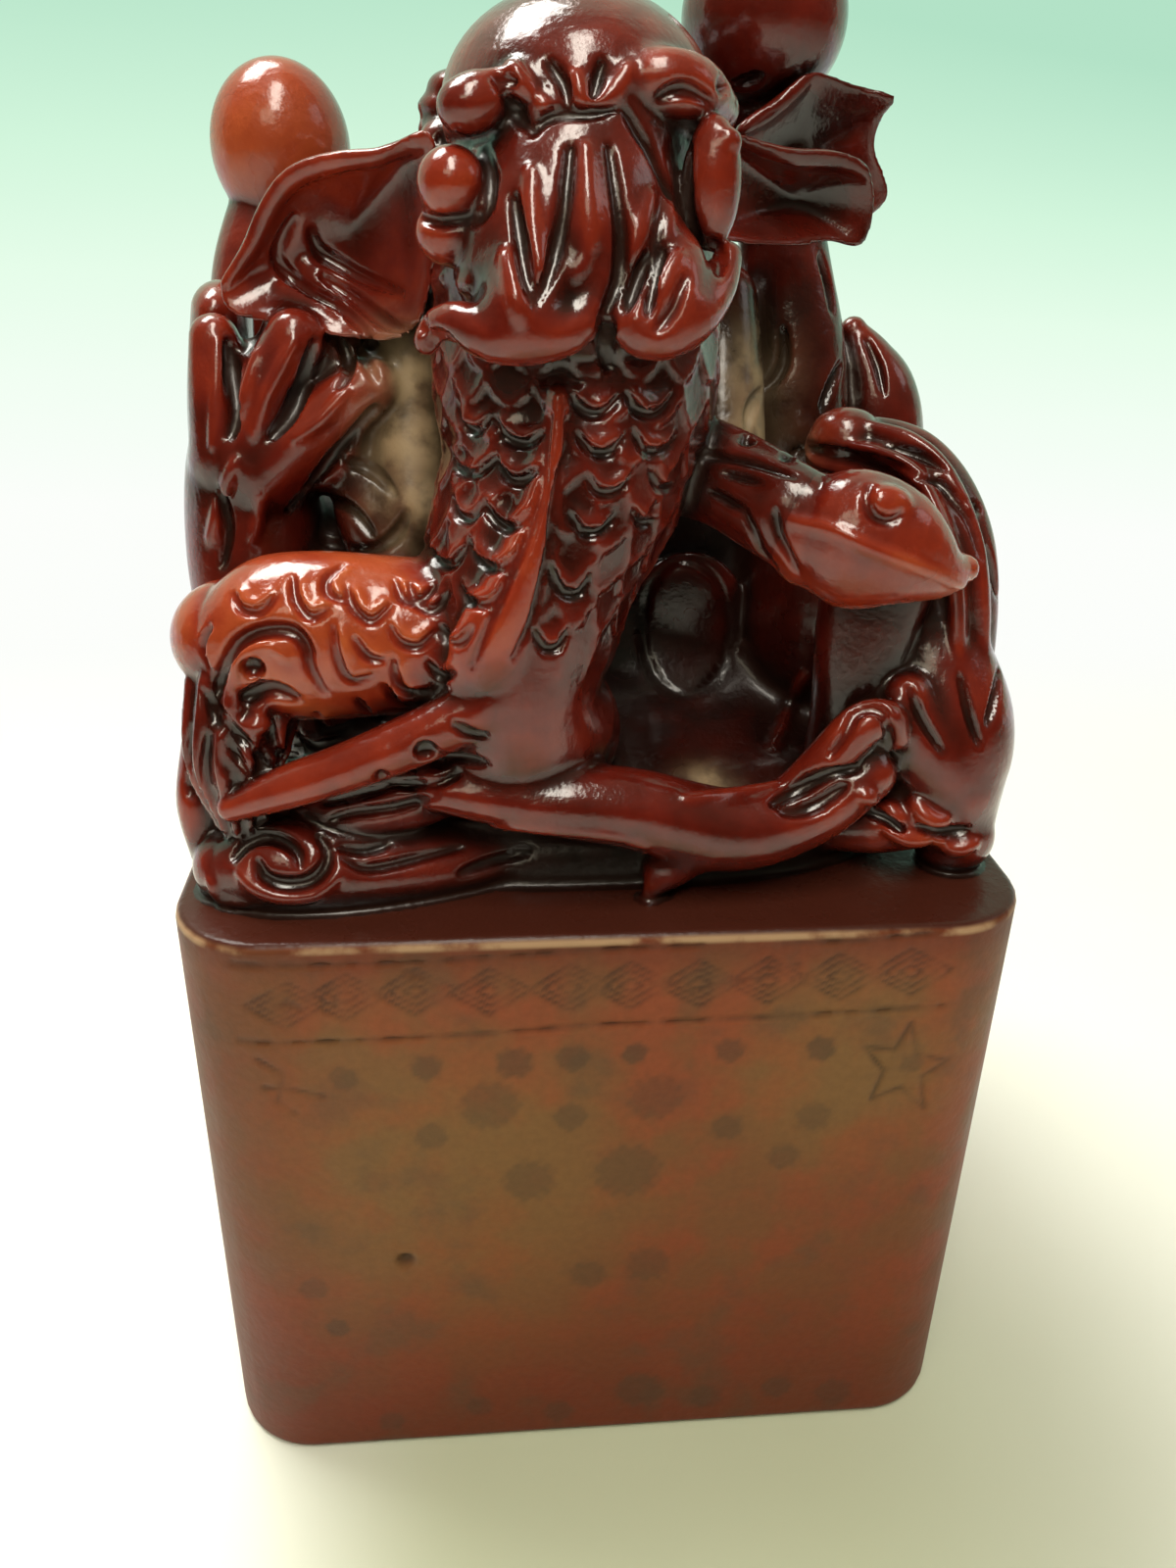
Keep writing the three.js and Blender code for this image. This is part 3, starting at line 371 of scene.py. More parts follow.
form("side_fold", 0.35, limb(LIMB_RADIUS, [[-26.6, -2.6, 36.4, 0.9, 0.45], [-27.2, -2.8, 30, 1.1, 0.52],
    [-27.2, -3.4, 22, 1.2, 0.56], [-26.4, -5, 14, 1.1, 0.62]], up=np.array([-1, 0, 0])))
form("ear_left", 0.4, limb(TOE_RADIUS, [[-10.4, -9.4, 47, 0.7], [-10.6, -9.2, 42, 0.8],
    [-10.4, -9.8, 36.6, 0.7]]), leaf([-17.6, -6.4, 41.2], [[-10.9, -12.4, 42.2], [-11.1, -12.8, 47.6],
    [-14.5, -11.6, 46.6], [-18, -10.4, 46.3], [-20.7, -9.5, 45.2], [-22.5, -8.9, 43], [-23.8, -8.6, 40.6],
    [-25.4, -8.6, 38.3], [-24.5, -9.2, 36.7], [-20.6, -10.4, 36.3], [-16.7, -11, 35.5],
    [-12.5, -12.2, 36.3]]), soft=0.4)
form("ear_right", 0.3, leaf([13.9, -5, 44.4], [[19.1, -6.5, 44.1], [18.1, -7.2, 46.6], [15.5, -8, 47.4],
    [11.8, -9.5, 47.4], [6.6, -11.2, 48.3], [5.9, -11.4, 45.6], [7, -10.6, 42.3], [12.6, -8.5, 41.6],
    [16, -7, 41.9], [18.5, -6.5, 41.7]]), soft=0.4)
form("collar_leaf", 0.3, leaf([16.2, 2.4, 47.6], [[22.4, 1.4, 44.5], [20.9, 0.8, 48], [21.1, 0.4, 49.9],
    [21.6, -0.4, 51.2], [18.8, 0, 51.9], [15.3, -0.8, 52.5], [12.9, -1.2, 50.7], [10.5, -1.4, 49],
    [10.4, 0, 46.2], [12.4, 1.4, 42.3], [18, 1.6, 42]]), soft=0.4)
form("stalk_right", 0.3, limb(STALK_RADIUS, [[13.2, 4.4, 50.2, 1], [15, 3.8, 43, 1],
    [15.7, 3.2, 38.4, 1.15], [16.4, 2.4, 33.4, 1.32], [16.4, 1.8, 28.2, 1.5], [17, 2.4, 21, 1.6]]))
form("pearl_right", 0.3, ball(PEARL_RADIUS, [12.7, 4, 56.2], [1, 1, 1.02]), soft=0.3)
form("stalk_left", 0.3, limb(STALK_RADIUS, [[-24, 9.8, 42.4, 1.1, 1.1], [-26.1, 8, 37, 0.95, 1.1],
    [-26, 7, 28, 1.05, 1.3], [-24.4, 8.6, 18, 1.5, 1.6]]))
form("pearl_left", 0.85, ball(PEARL_RADIUS, [-23.2, 9.8, 47.2], [0.88, 0.88, 1.02]), soft=0.3)
form("snout", 0.4, limb(SNOUT_RADIUS, [[-2.2, -17.4, 48.6, 0.86, 0.6], [-2.5, -19.2, 45.4, 0.92, 0.7],
    [-3, -20.6, 42.4, 0.98, 0.76], [-3.3, -21.4, 40.2, 0.98, 0.7]]), soft=1.2)
form("skull", 0.45, ball(SKULL_RADIUS, [-2.1, -13.2, 49], [1, 1.1, 0.8]), soft=1.6)
form("muzzle", 0.35, ball(MUZZLE_RADIUS, [-2.2, -15.2, 41], [1, 0.95, 0.95]), soft=1.6)
form("neck", 0.36, limb(NECK_RADIUS, [[-2.1, -14.6, 38.5, 1.04, 0.92], [-2.2, -15.2, 33, 1.06, 0.98],
    [-3, -16.2, 27.6, 0.94, 1], [-4.8, -17.4, 23, 0.84, 0.98], [-6, -18.4, 18.6, 0.78, 0.93]],
    relief=fish_scales(2.6, 18, 0.3), sides=300), soft=0.8)
form("chest", 0.52, limb(CHEST_RADIUS, [[-6, -18.6, 19, 0.8, 1], [-6.6, -19, 14.6, 0.78, 1.02],
    [-6.2, -18.4, 11, 0.86, 0.96], [-5.4, -17, 9.2, 0.86, 0.78]]), soft=1.2)
form("nape", 0.3, limb(NECK_RADIUS, [[-2, -8, 47, 0.86, 0.8], [-1.6, -2, 46.4, 0.88, 0.84],
    [-1, 5, 42, 0.84, 0.84], [0, 11, 36, 0.8, 0.84]], up=UP))
form("tail_coil", 0.6, curl(TAIL_COIL_RADIUS, TAIL_RADIUS, [1.1, 27.2, 8.6], 0.4), soft=0.4)
form("spine", 0.4, limb(SPINE_RADIUS, [[0, 12, 37.4, 0.9, 1], [0.4, 18, 32, 0.95, 1],
    [0.8, 20.8, 24, 0.95, 0.95], [1, 22, 16, 0.8, 0.9], [1, 22.4, 10, 0.5, 0.7]], up=np.array([0, 1, 0.4]),
    relief=fish_scales(3.4, 12, 0.6), sides=260))
form("rock_left", 0.1, limb(LIMB_RADIUS, [[-17.6, -8.6, 28, 0.4], [-16, -9.8, 24.4, 0.66],
    [-14.6, -11, 21, 0.7]]), limb(LIMB_RADIUS, [[-13.4, -8, 35, 0.5], [-13.2, -9, 29.6, 0.62],
    [-13, -10.6, 24, 0.72]]), soft=2)
form("rock_right", 0.1, limb(LIMB_RADIUS, [[10, -0.6, 37.4, 0.6], [9.8, -3, 32, 0.72],
    [9.6, -5.6, 26, 0.78]]), soft=2)
form("hump_right", 0.35, limb(LIMB_RADIUS, [[21.9, 4.2, 35, 0.24], [22.9, 4, 33, 0.5],
    [24, 3.8, 30.2, 0.76], [24.4, 3.6, 26.4, 0.9], [24, 3, 20, 1]]))
for name, hand in (("hind_leg_right", 1), ("hind_leg_left", -1)):
    form(name, 0.4, ball(HAUNCH_RADIUS, [hand * 19, 17.4, 12.4], [0.98, 1.05, 1.1]), limb(LIMB_RADIUS,
        [[hand * 21, 25, 8, 0.8], [hand * 18, 26, 4.6, 0.7], [hand * 12, 26.4, 2.6, 0.6]], up=UP), soft=0.9)
form("flank_right", 0.2, ball(HAUNCH_RADIUS, [20.4, 1, 14], [0.88, 1.2, 1.34]), soft=1.6)
form("flank_left", 0.25, ball(HAUNCH_RADIUS, [-20.4, 0, 12.4], [0.88, 1.24, 1.2]), soft=1.6)
form("rock_core", 0.1, mound([[0, -26.6, 26.8, -23.4, 27.4], [3, -26.6, 26.6, -22.4, 27.4],
    [6, -24.6, 24.6, -18.6, 26.4], [9, -22.6, 22.6, -9, 25.4], [15, -21.6, 21.6, -5.4, 24.6],
    [23, -20, 20, -3, 23], [31, -16.4, 17, -1, 20], [37, -11, 12.4, 1, 16], [40, -6, 7, 4, 12]]), soft=1.6)
print(len(forms), "forms of the beast")

# %% [markdown]
# ## Melting the forms into one carving
# Separate skins that cross would leave hard creases, and neither a chisel nor lacquer leaves those. So each
# skin is turned into a distance field on one lattice: at every lattice point, how far it is to the skin, less
# than nothing inside. Two fields melt where their values are close, which rounds the crease to the width
# asked for.

# %% The lattice
PITCH = 0.25
BAND = 2.5
LOW = np.floor(np.array([-31.0, -31.0, -2.5]) / PITCH).astype(int)
SHAPE = np.ceil(np.array([62.0, 62.0, 66.5]) / PITCH).astype(int) + 1
lattice = vdb.createLinearTransform(voxelSize=PITCH)


def distances(points, quads, triangles):
    """The signed distance to a closed skin, on the part of the lattice within the band round it."""
    low = np.maximum(np.floor((points.min(0) - BAND) / PITCH).astype(int), LOW)
    high = np.minimum(np.ceil((points.max(0) + BAND) / PITCH).astype(int) + 1, LOW + SHAPE)
    grid = vdb.FloatGrid.createLevelSetFromPolygons(
        points.astype(np.float32), quads=quads.astype(np.uint32), triangles=triangles.astype(np.uint32),
        transform=lattice, halfWidth=BAND / PITCH)
    block = np.empty(high - low, np.float32)
    grid.copyToArray(block, ijk=tuple(int(value) for value in low))
    return low - LOW, block


def melt(one, other, width):
    """The lesser of the two, lowered by up to a quarter of the width where they differ by less than it."""
    near = np.maximum(width - np.abs(one - other), 0) / width
    return np.minimum(one, other) - near * near * width / 4


def window(corner, block):
    """The part of the lattice that a block covers, from its corner on."""
    return tuple(slice(start, start + size) for start, size in zip(corner, block.shape))


# %% One field from all forms
first = np.full(SHAPE, BAND, np.float32)
second = np.full(SHAPE, BAND, np.float32)
first_soft = np.full(SHAPE, 0.3, np.float32)
second_soft = np.full(SHAPE, 0.3, np.float32)
warm_sum = np.zeros(SHAPE, np.float32)
warm_weight = np.full(SHAPE, 1e-6, np.float32)
for item in forms:
    parts = [distances(*each) for each in item["skins"]]
    low = np.min([corner for corner, block in parts], 0)
    high = np.max([corner + block.shape for corner, block in parts], 0)
    whole = np.full(high - low, BAND, np.float32)
    for corner, block in parts:
        spot = window(corner - low, block)
        whole[spot] = melt(whole[spot], block, 0.8)
    item["corner"], item["field"] = low, whole
    spot = window(low, whole)
    a, b, sa, sb = first[spot], second[spot], first_soft[spot], second_soft[spot]
    closer, runner = whole < a, whole < b
    second[spot] = np.where(closer, a, np.where(runner, whole, b))
    second_soft[spot] = np.where(closer, sa, np.where(runner, item["soft"], sb))
    first[spot] = np.where(closer, whole, a)
    first_soft[spot] = np.where(closer, item["soft"], sa)
    weight = np.exp(-np.clip(whole + 1, 0, 4) * 2.5)
    warm_sum[spot] += weight * item["warmth"]
    warm_weight[spot] += weight
height = ((np.arange(SHAPE[2]) + LOW[2]) * PITCH).astype(np.float32)[None, None, :] + 0 * first
carving = melt(first, second, np.minimum(first_soft, second_soft))
carving = melt(carving, height, 0.6)
warmth = warm_sum / warm_weight
del second, first_soft, second_soft, warm_sum, warm_weight
print("lattice of", carving.size, "points at", PITCH, "mm")

# %% [markdown]
# ## Reading the field
# A field is read between lattice points by weighing the eight nearest. Its slope gives the surface's normal,
# which makes the reflections in the lacquer run smooth, as they do over a polished carving.

# %% Read a field at any place
def read(field, places, scale=1):
    """Trilinear: the eight lattice values round a place, each weighed by how near the place is to it."""
    spot = (places / PITCH - LOW) / scale
    spot = np.clip(spot, 0, np.array(field.shape) - 1.001)
    base = spot.astype(int)
    x, y, z = (spot - base).T
    i, j, k = base.T
    value = 0
    for a, wx in ((0, 1 - x), (1, x)):
        for b, wy in ((0, 1 - y), (1, y)):
            for c, wz in ((0, 1 - z), (1, z)):
                value = value + wx * wy * wz * field[i + a, j + b, k + c]
    return value


def slope(field, places):
    """The difference of the field across one lattice step, along x, y and z."""
    steps = np.eye(3) * PITCH
    change = [read(field, places + step) - read(field, places - step) for step in steps]
    return np.stack(change, -1) / (2 * PITCH)


def spread(field, width):
    """Blur by a bell curve of that width in lattice steps, along each axis in turn."""
    reach = int(np.ceil(2.5 * width))
    weights = np.exp(-0.5 * (np.arange(-reach, reach + 1) / width) ** 2)
    weights /= weights.sum()
    for axis in range(3):
        padded = np.pad(field, [(reach, reach) if a == axis else (0, 0) for a in range(3)], mode="edge")
        size = field.shape[axis]
        field = sum(w * np.take(padded, range(n, n + size), axis) for n, w in enumerate(weights))
    return field


# %% [markdown]
# ## Chisel strokes
# After the masses, a carver cuts the scales, folds and curls with single strokes of a round chisel, and
# leaves thin ridges between them. A stroke is noted here as pixels of the photograph that it runs through. It
# is laid on the carving where the camera's ray through each pixel first meets it, so it sits on whatever form
# is there.

# %% Where a pixel's ray meets the carving
PIXELS = WIDE * LENS / SENSOR
STEP = 0.2
NEAREST, FARTHEST = 62, 150
OUTSIDE = 46


def ray(pixels):
    """The camera's place and the directions through pixels, one row for each, of length one."""
    pixels = np.asarray(pixels, float)
    way = ahead * PIXELS + right * (pixels[:, :1] - WIDE / 2) - top * (pixels[:, 1:] - TALL / 2)
    return camera_place - [0, 0, LEDGE], unit(way)


def met(start, way, reach):
    """The first place along each ray where the field falls below nothing, found between two steps."""
    places = start[:, None] + way[:, None] * reach[:, None]
    values = read(carving, places.reshape(-1, 3)).reshape(len(way), -1)
    hit = np.clip((values < 0).argmax(1), 1, None)
    rows = np.arange(len(way))
    before, after = values[rows, hit - 1], values[rows, hit]
    share = np.clip(before / np.maximum(before - after, 1e-6), 0, 1)
    return start + way * (reach[hit - 1] + STEP * share)[:, None]


def seen(pixels):
    """Where the camera's rays through pixels meet the carving."""
    start, way = ray(pixels)
    return met(start + 0 * way, way, np.arange(NEAREST, FARTHEST, STEP))


def faced(turns):
    """Where level rays towards the upright axis meet the carving. Each row gives the side that its ray comes
    from, in degrees from the right hand (90 is the back), and its height in mm."""
    turns = np.asarray(turns, float)
    angle = np.radians(turns[:, 0])
    way = -np.stack([np.cos(angle), np.sin(angle), 0 * angle], -1)
    return met(turns[:, 1:] * UP - OUTSIDE * way, way, np.arange(0, OUTSIDE, STEP))


def along(path, step=4.0):
    """A smooth curve through the rows of a path, with a point every few pixels, or degrees and mm."""
    path = np.array(path, float)
    count = max(3, int(np.linalg.norm(np.diff(path, axis=0), axis=1).sum() / step))
    return through(path, np.linspace(0, 1, count))


# %% Lay a stroke into the field
JUMP = 1.6
TOOL_REACH = 1.8
strokes = []


def cut(half, deep, *paths):
    """Grooves of a half width and a depth in mm."""
    strokes.extend((-1, half, deep, path) for path in paths)


def rise(half, high, *paths):
    """Ridges of a half width and a height in mm."""
    strokes.extend((1, half, high, path) for path in paths)


def scale(*paths):
    """A scale's free edge: a groove along it and a ridge inside it, a quarter of the way to its middle."""
    for path in paths:
        path = np.array(path, float)
        cut(0.38, 0.38, path)
        rise(0.5, 0.26, path + 0.24 * (path[[0, -1]].mean(0) - path))


def runs(points):
    """Parts of a stroke between jumps, which are where it passes behind an edge."""
    jump = np.linalg.norm(np.diff(points, axis=0), axis=1) > JUMP
    return [part for part in np.split(np.arange(len(points)), np.flatnonzero(jump) + 1) if len(part) > 1]


def chain(points, radii):
    """The distance to a chain of cones: to each the nearest place on its axis, less the radius there."""
    low = np.maximum(np.floor((points.min(0) - BAND) / PITCH).astype(int) - LOW, 0)
    high = np.minimum(np.ceil((points.max(0) + BAND) / PITCH).astype(int) - LOW, SHAPE)
    block = np.full(np.maximum(high - low, 1), BAND, np.float32)
    for a, b, ra, rb in zip(points, points[1:], radii, radii[1:]):
        near = np.maximum(np.floor((np.minimum(a, b) - TOOL_REACH) / PITCH).astype(int) - LOW, low)
        far = np.minimum(np.ceil((np.maximum(a, b) + TOOL_REACH) / PITCH).astype(int) - LOW, high)
        if (far <= near).any():
            continue
        axes = [((np.arange(n, f) + l) * PITCH).astype(np.float32) for n, f, l in zip(near, far, LOW)]
        offset = [axis.reshape([-1 if k == n else 1 for k in range(3)]) - a[n] for n, axis in enumerate(axes)]
        span = b - a
        length = max(span @ span, 1e-9)
        share = np.clip(sum(o * s for o, s in zip(offset, span)) / length, 0, 1)
        apart = np.sqrt(sum((o - share * s) ** 2 for o, s in zip(offset, span)))
        spot = tuple(slice(n - l, f - l) for n, f, l in zip(near, far, low))
        block[spot] = np.minimum(block[spot], apart - (ra + share * (rb - ra)))
    return low, block


def lay(points, normals, sign, half, deep):
    """A round tool whose edge is as deep (or as high) as asked and as wide at the surface: its radius is
    (half squared + deep squared) over twice the depth, and both ends taper off."""
    taper = np.sin(np.linspace(0.12, 1, len(points)) * np.pi * 0.94) ** 0.5
    radius = (half ** 2 + deep ** 2) / (2 * deep)
    shift = (radius - deep) * taper * -sign
    corner, tool = chain(points + normals * shift[:, None], radius * taper)
    spot = window(corner, tool)
    if sign > 0:
        carving[spot] = melt(carving[spot], tool, 0.5)
    else:
        carving[spot] = -melt(-carving[spot], tool, 0.25)


# %% [markdown]
# The strokes of the head: the frown, the flutes of the snout, the lids and the flared lips.

# %% Head
frown_folds = [
    [(522, 64), (532, 84), (545, 100), (562, 114)], [(587, 78), (592, 94), (598, 108)],
    [(641, 70), (628, 92), (609, 110)],
]
rise(0.5, 0.45, *frown_folds)
frown_cuts = [
    [(512, 90), (524, 110), (541, 132)], [(543, 136), (556, 121), (576, 115), (602, 116), (628, 112)],
    [(638, 112), (650, 132), (665, 156), (680, 190), (690, 218)], [(560, 62), (574, 82), (580, 104)],
    [(615, 60), (610, 80), (604, 100)],
]
cut(0.4, 0.45, *frown_cuts)
snout_grooves = [
    [(582, 150), (577, 200), (571, 240), (561, 280), (546, 312)],
    [(524, 200), (530, 240), (537, 280), (543, 305)],
    [(622, 150), (631, 205), (635, 245), (630, 290), (612, 330)],
]
cut(0.5, 0.55, *snout_grooves)
snout_flutes = [
    [(598, 150), (600, 190), (603, 230), (599, 258), (589, 280)],
    [(541, 175), (541, 215), (546, 250), (554, 288)], [(514, 260), (522, 290), (530, 325)],
    [(664, 200), (654, 235), (645, 262)], [(684, 210), (680, 244)], [(692, 260), (672, 290), (646, 326)],
]
rise(0.5, 0.35, *snout_flutes)
cheek_folds = [
    [(660, 262), (650, 285), (638, 318)], [(676, 256), (668, 285), (660, 322)],
    [(700, 282), (686, 315), (668, 338)],
]
cut(0.4, 0.45, *cheek_folds)
left_brow = [[(446, 141), (475, 143), (508, 136)], [(503, 82), (514, 80), (530, 84)]]
cut(0.32, 0.4, *left_brow)
right_lid = [(672, 100), (688, 93), (704, 92), (726, 103)]
cut(0.45, 0.7, right_lid)
eye_rims = [
    [(494, 152), (501, 180), (497, 212), (484, 228)], [(430, 222), (450, 226), (478, 222)],
    [(704, 140), (701, 180), (704, 222), (717, 252)], [(726, 246), (736, 262), (734, 280)],
]
cut(0.4, 0.5, *eye_rims)
cheek_curls = [[(438, 288), (452, 284)], [(464, 292), (478, 289)]]
rise(0.8, 0.6, *cheek_curls)
lip_corner = [(440, 352), (452, 347), (466, 353)]
cut(0.7, 0.7, lip_corner)
mouth = [(620, 372), (619, 358), (620, 344), (622, 326)]
cut(0.6, 0.6, mouth)

# %% [markdown]
# The keel under the chin and the fish scales on both sides of it.

# %% Neck
keel_sides = [
    [(560, 425), (555, 460), (551, 500), (538, 545), (518, 592), (498, 640), (480, 682)],
    [(579, 428), (580, 455), (573, 485), (566, 525), (562, 560), (552, 602), (541, 640), (524, 672)],
]
cut(0.4, 0.5, *keel_sides)
neck_scales = [
    [(468, 412), (472, 432), (486, 440), (500, 426)], [(505, 428), (518, 448), (538, 452), (556, 440)],
    [(460, 458), (466, 478), (486, 484), (506, 468)], [(508, 468), (518, 488), (534, 490), (550, 476)],
    [(462, 508), (466, 524), (480, 530), (494, 514)], [(494, 512), (506, 532), (524, 538), (545, 518)],
    [(438, 556), (448, 574), (462, 576), (474, 560)], [(478, 552), (490, 572), (508, 580), (532, 562)],
    [(418, 598), (428, 618), (444, 622), (458, 606)], [(470, 598), (480, 614), (498, 616), (514, 600)],
    [(450, 640), (458, 654), (470, 656), (482, 640)], [(436, 676), (450, 690), (464, 686)],
    [(583, 526), (594, 542), (614, 542), (628, 524)], [(562, 578), (572, 602), (590, 606), (602, 588)],
    [(546, 646), (556, 662), (570, 660), (580, 642)], [(600, 486), (610, 502), (630, 502), (644, 486)],
    [(590, 444), (602, 460), (622, 462), (638, 444)], [(648, 442), (658, 460), (678, 460), (690, 444)],
    [(646, 520), (654, 534), (668, 532)], [(664, 482), (674, 498), (690, 494)],
    [(584, 404), (596, 420), (616, 421), (632, 404)], [(640, 402), (652, 420), (672, 421), (686, 404)],
]
scale(*neck_scales)

# %% [markdown]
# The left side: the ear's ribs, the fingers, the scaled shoulder with its spiral, the wing and the cloud
# scroll.

# %% Left side
ear_rim = [
    (430, 146), (390, 160), (355, 165), (325, 172), (300, 183), (284, 200), (270, 222), (260, 244),
    (246, 266), (230, 288),
]
rise(0.6, 0.45, ear_rim)
ear_grooves = [
    [(300, 222), (289, 242), (284, 265), (300, 285), (322, 300), (348, 314), (368, 332), (380, 352)],
    [(330, 283), (355, 299), (385, 322), (405, 333), (432, 332)],
    [(318, 236), (326, 256), (345, 268), (372, 284), (410, 300)],
]
cut(0.55, 0.6, *ear_grooves)
ear_ribs = [[(312, 268), (340, 292), (372, 312), (404, 326)], [(290, 292), (330, 308), (352, 324)]]
rise(0.5, 0.3, *ear_ribs)
finger_gaps = [
    [(234, 350), (237, 385), (239, 418), (234, 446)], [(322, 352), (311, 388), (296, 420), (276, 446)],
    [(384, 418), (355, 452), (330, 482), (296, 520)],
]
cut(0.7, 0.9, *finger_gaps)
finger_ridges = [
    [(222, 350), (222, 385), (220, 420), (217, 455)], [(300, 350), (285, 378), (272, 404), (258, 446)],
    [(352, 400), (330, 426), (302, 448)], [(262, 360), (252, 395), (242, 432)],
    [(240, 470), (226, 510), (214, 550)], [(268, 508), (258, 550)],
]
rise(0.45, 0.4, *finger_ridges)
side_cuts = [
    [(348, 345), (356, 372), (346, 396)], [(368, 352), (376, 372), (386, 392)],
    [(330, 553), (370, 562), (402, 548), (416, 522)], [(352, 470), (380, 480), (404, 505)],
    [(338, 510), (360, 522), (382, 548)], [(225, 500), (232, 540), (226, 580)],
]
cut(0.5, 0.5, *side_cuts)
shoulder_spiral = [
    (222, 708), (225, 690), (235, 666), (250, 651), (272, 643), (298, 645), (312, 662), (316, 682),
    (330, 706),
]
cut(0.55, 0.7, shoulder_spiral)
spiral_hollows = [[(254, 680), (260, 685)], [(252, 712), (276, 706), (302, 714)]]
cut(0.8, 0.9, *spiral_hollows)
shoulder_ridges = [
    [(243, 738), (264, 742), (282, 733)], [(236, 700), (242, 678), (256, 664), (276, 660), (292, 672)],
]
rise(0.45, 0.4, *shoulder_ridges)
shoulder_scales = [
    [(300, 590), (302, 612), (316, 630), (336, 622)], [(350, 577), (334, 590), (335, 606), (352, 614)],
    [(355, 602), (362, 622), (380, 634), (398, 618)], [(362, 652), (374, 670), (392, 674)],
    [(340, 640), (344, 672), (356, 694), (378, 690)], [(402, 676), (406, 698), (420, 706), (438, 704)],
    [(398, 640), (408, 656), (428, 660), (444, 644)], [(404, 594), (412, 612), (430, 612), (444, 598)],
    [(238, 606), (246, 622), (266, 624), (282, 608)], [(276, 735), (280, 762), (292, 773), (308, 770)],
    [(324, 728), (332, 744), (348, 742), (366, 732)], [(364, 714), (378, 730), (394, 736)],
    [(304, 748), (322, 761), (348, 754)], [(392, 700), (404, 716), (424, 718)],
    [(214, 640), (206, 660), (214, 684)],
]
scale(*shoulder_scales)
tuft_hairs = [
    [(205, 704), (222, 738), (236, 762), (252, 786)], [(214, 712), (238, 744), (258, 766), (272, 783)],
    [(226, 758), (231, 792)], [(196, 745), (192, 780), (194, 815)], [(212, 752), (209, 786), (212, 820)],
]
cut(0.35, 0.45, *tuft_hairs)
feather_cuts = [
    [(452, 770), (476, 775), (496, 780)], [(466, 790), (442, 800), (402, 800), (388, 791)],
    [(402, 802), (380, 808), (352, 815), (328, 820)], [(446, 812), (402, 825), (362, 830), (338, 836)],
    [(464, 740), (480, 750), (497, 752)], [(345, 864), (370, 868), (397, 862)],
    [(350, 876), (372, 886), (402, 882), (440, 872), (472, 864)], [(470, 892), (500, 880), (540, 868)],
]
cut(0.45, 0.55, *feather_cuts)
feather_pit = [(432, 770), (438, 767)]
cut(0.8, 0.9, feather_pit)
cloud_spiral = [
    [(238, 876), (250, 861), (270, 853), (290, 858), (304, 871), (306, 884)],
    [(262, 880), (270, 895), (290, 903), (315, 900), (331, 885), (334, 868), (325, 854)],
]
cut(0.6, 0.7, *cloud_spiral)
cloud_ridges = [
    [(246, 892), (262, 908), (292, 916), (324, 912), (344, 894)], [(215, 900), (226, 916), (252, 922)],
]
rise(0.5, 0.4, *cloud_ridges)

# %% [markdown]
# The right side: the belly's lip and hook, the paw with its cuff and claws, and the folds of the tail's
# drape.

# %% Right side
lip_folds = [[(790, 820), (812, 806), (842, 793), (874, 784)], [(800, 828), (830, 822), (862, 802)]]
cut(0.7, 0.8, *lip_folds)
hook_groove = [(848, 770), (863, 747), (871, 728), (888, 721), (902, 727), (907, 744), (909, 762)]
cut(0.5, 0.7, hook_groove)
shin_ridge = [(820, 690), (806, 718), (796, 744), (786, 764)]
rise(0.6, 0.6, shin_ridge)
cuff_and_lip_edges = [
    [(806, 530), (850, 541), (890, 560), (940, 580), (982, 598)],
    [(462, 838), (540, 846), (620, 853), (660, 864)], [(700, 815), (760, 806), (790, 800)],
]
rise(0.4, 0.3, *cuff_and_lip_edges)
paw_cuts = [
    [(712, 464), (760, 470), (812, 486)], [(724, 502), (760, 522)], [(740, 482), (776, 492)],
    [(760, 524), (770, 546), (776, 562), (790, 577)], [(790, 522), (794, 546), (806, 570), (814, 584)],
    [(800, 468), (822, 458), (852, 460), (898, 468)], [(902, 470), (930, 482), (960, 494), (1000, 520)],
]
cut(0.35, 0.4, *paw_cuts)
paw_curl = [(887, 496), (884, 512), (892, 527), (908, 532), (922, 524)]
cut(0.4, 0.45, paw_curl)
drape_and_hump_folds = [
    [(1008, 562), (1017, 600), (1022, 640), (1018, 700), (1008, 740)],
    [(965, 500), (990, 530), (1002, 570)], [(905, 455), (940, 464), (966, 480)],
    [(928, 700), (942, 735), (962, 768)], [(980, 690), (990, 730), (1000, 760)],
    [(858, 372), (848, 394), (838, 418)], [(884, 345), (896, 372), (902, 402)],
]
cut(0.4, 0.5, *drape_and_hump_folds)
cuts_behind = [
    [(800, 338), (800, 368), (790, 388), (775, 402), (765, 422), (762, 452)],
    [(735, 88), (758, 85), (776, 78)], [(838, 262), (846, 290), (850, 318)],
]
cut(0.5, 0.6, *cuts_behind)
thigh_ridges = [
    [(880, 812), (902, 822), (918, 838)], [(932, 818), (948, 836), (966, 838)],
    [(905, 846), (925, 856), (946, 858)], [(958, 858), (976, 866), (996, 860)],
]
rise(0.6, 0.6, *thigh_ridges)
thigh_cuts = [[(885, 828), (905, 836), (922, 850)], [(938, 844), (960, 850), (988, 846)]]
cut(0.5, 0.6, *thigh_cuts)
medallion_ring = [
    (744, 640), (738, 676), (722, 700), (700, 709), (678, 700), (662, 676), (656, 640), (662, 604),
    (678, 580), (700, 571), (722, 580), (738, 604), (744, 640),
]
cut(0.45, 0.22, medallion_ring)
leaf_ribs = [
    [(752, 134), (778, 122), (802, 103), (822, 86)],
    [(744, 140), (776, 154), (810, 163), (850, 165), (880, 176)],
]
rise(0.55, 0.45, *leaf_ribs)

# %% [markdown]
# The back isn't in the photograph. It is given the same hand: a spiral and scales on each haunch, claws on
# the hind feet, and slanting facets on the rock between them. These strokes are noted by side and height, on
# the right half first, and are mirrored to the left one.

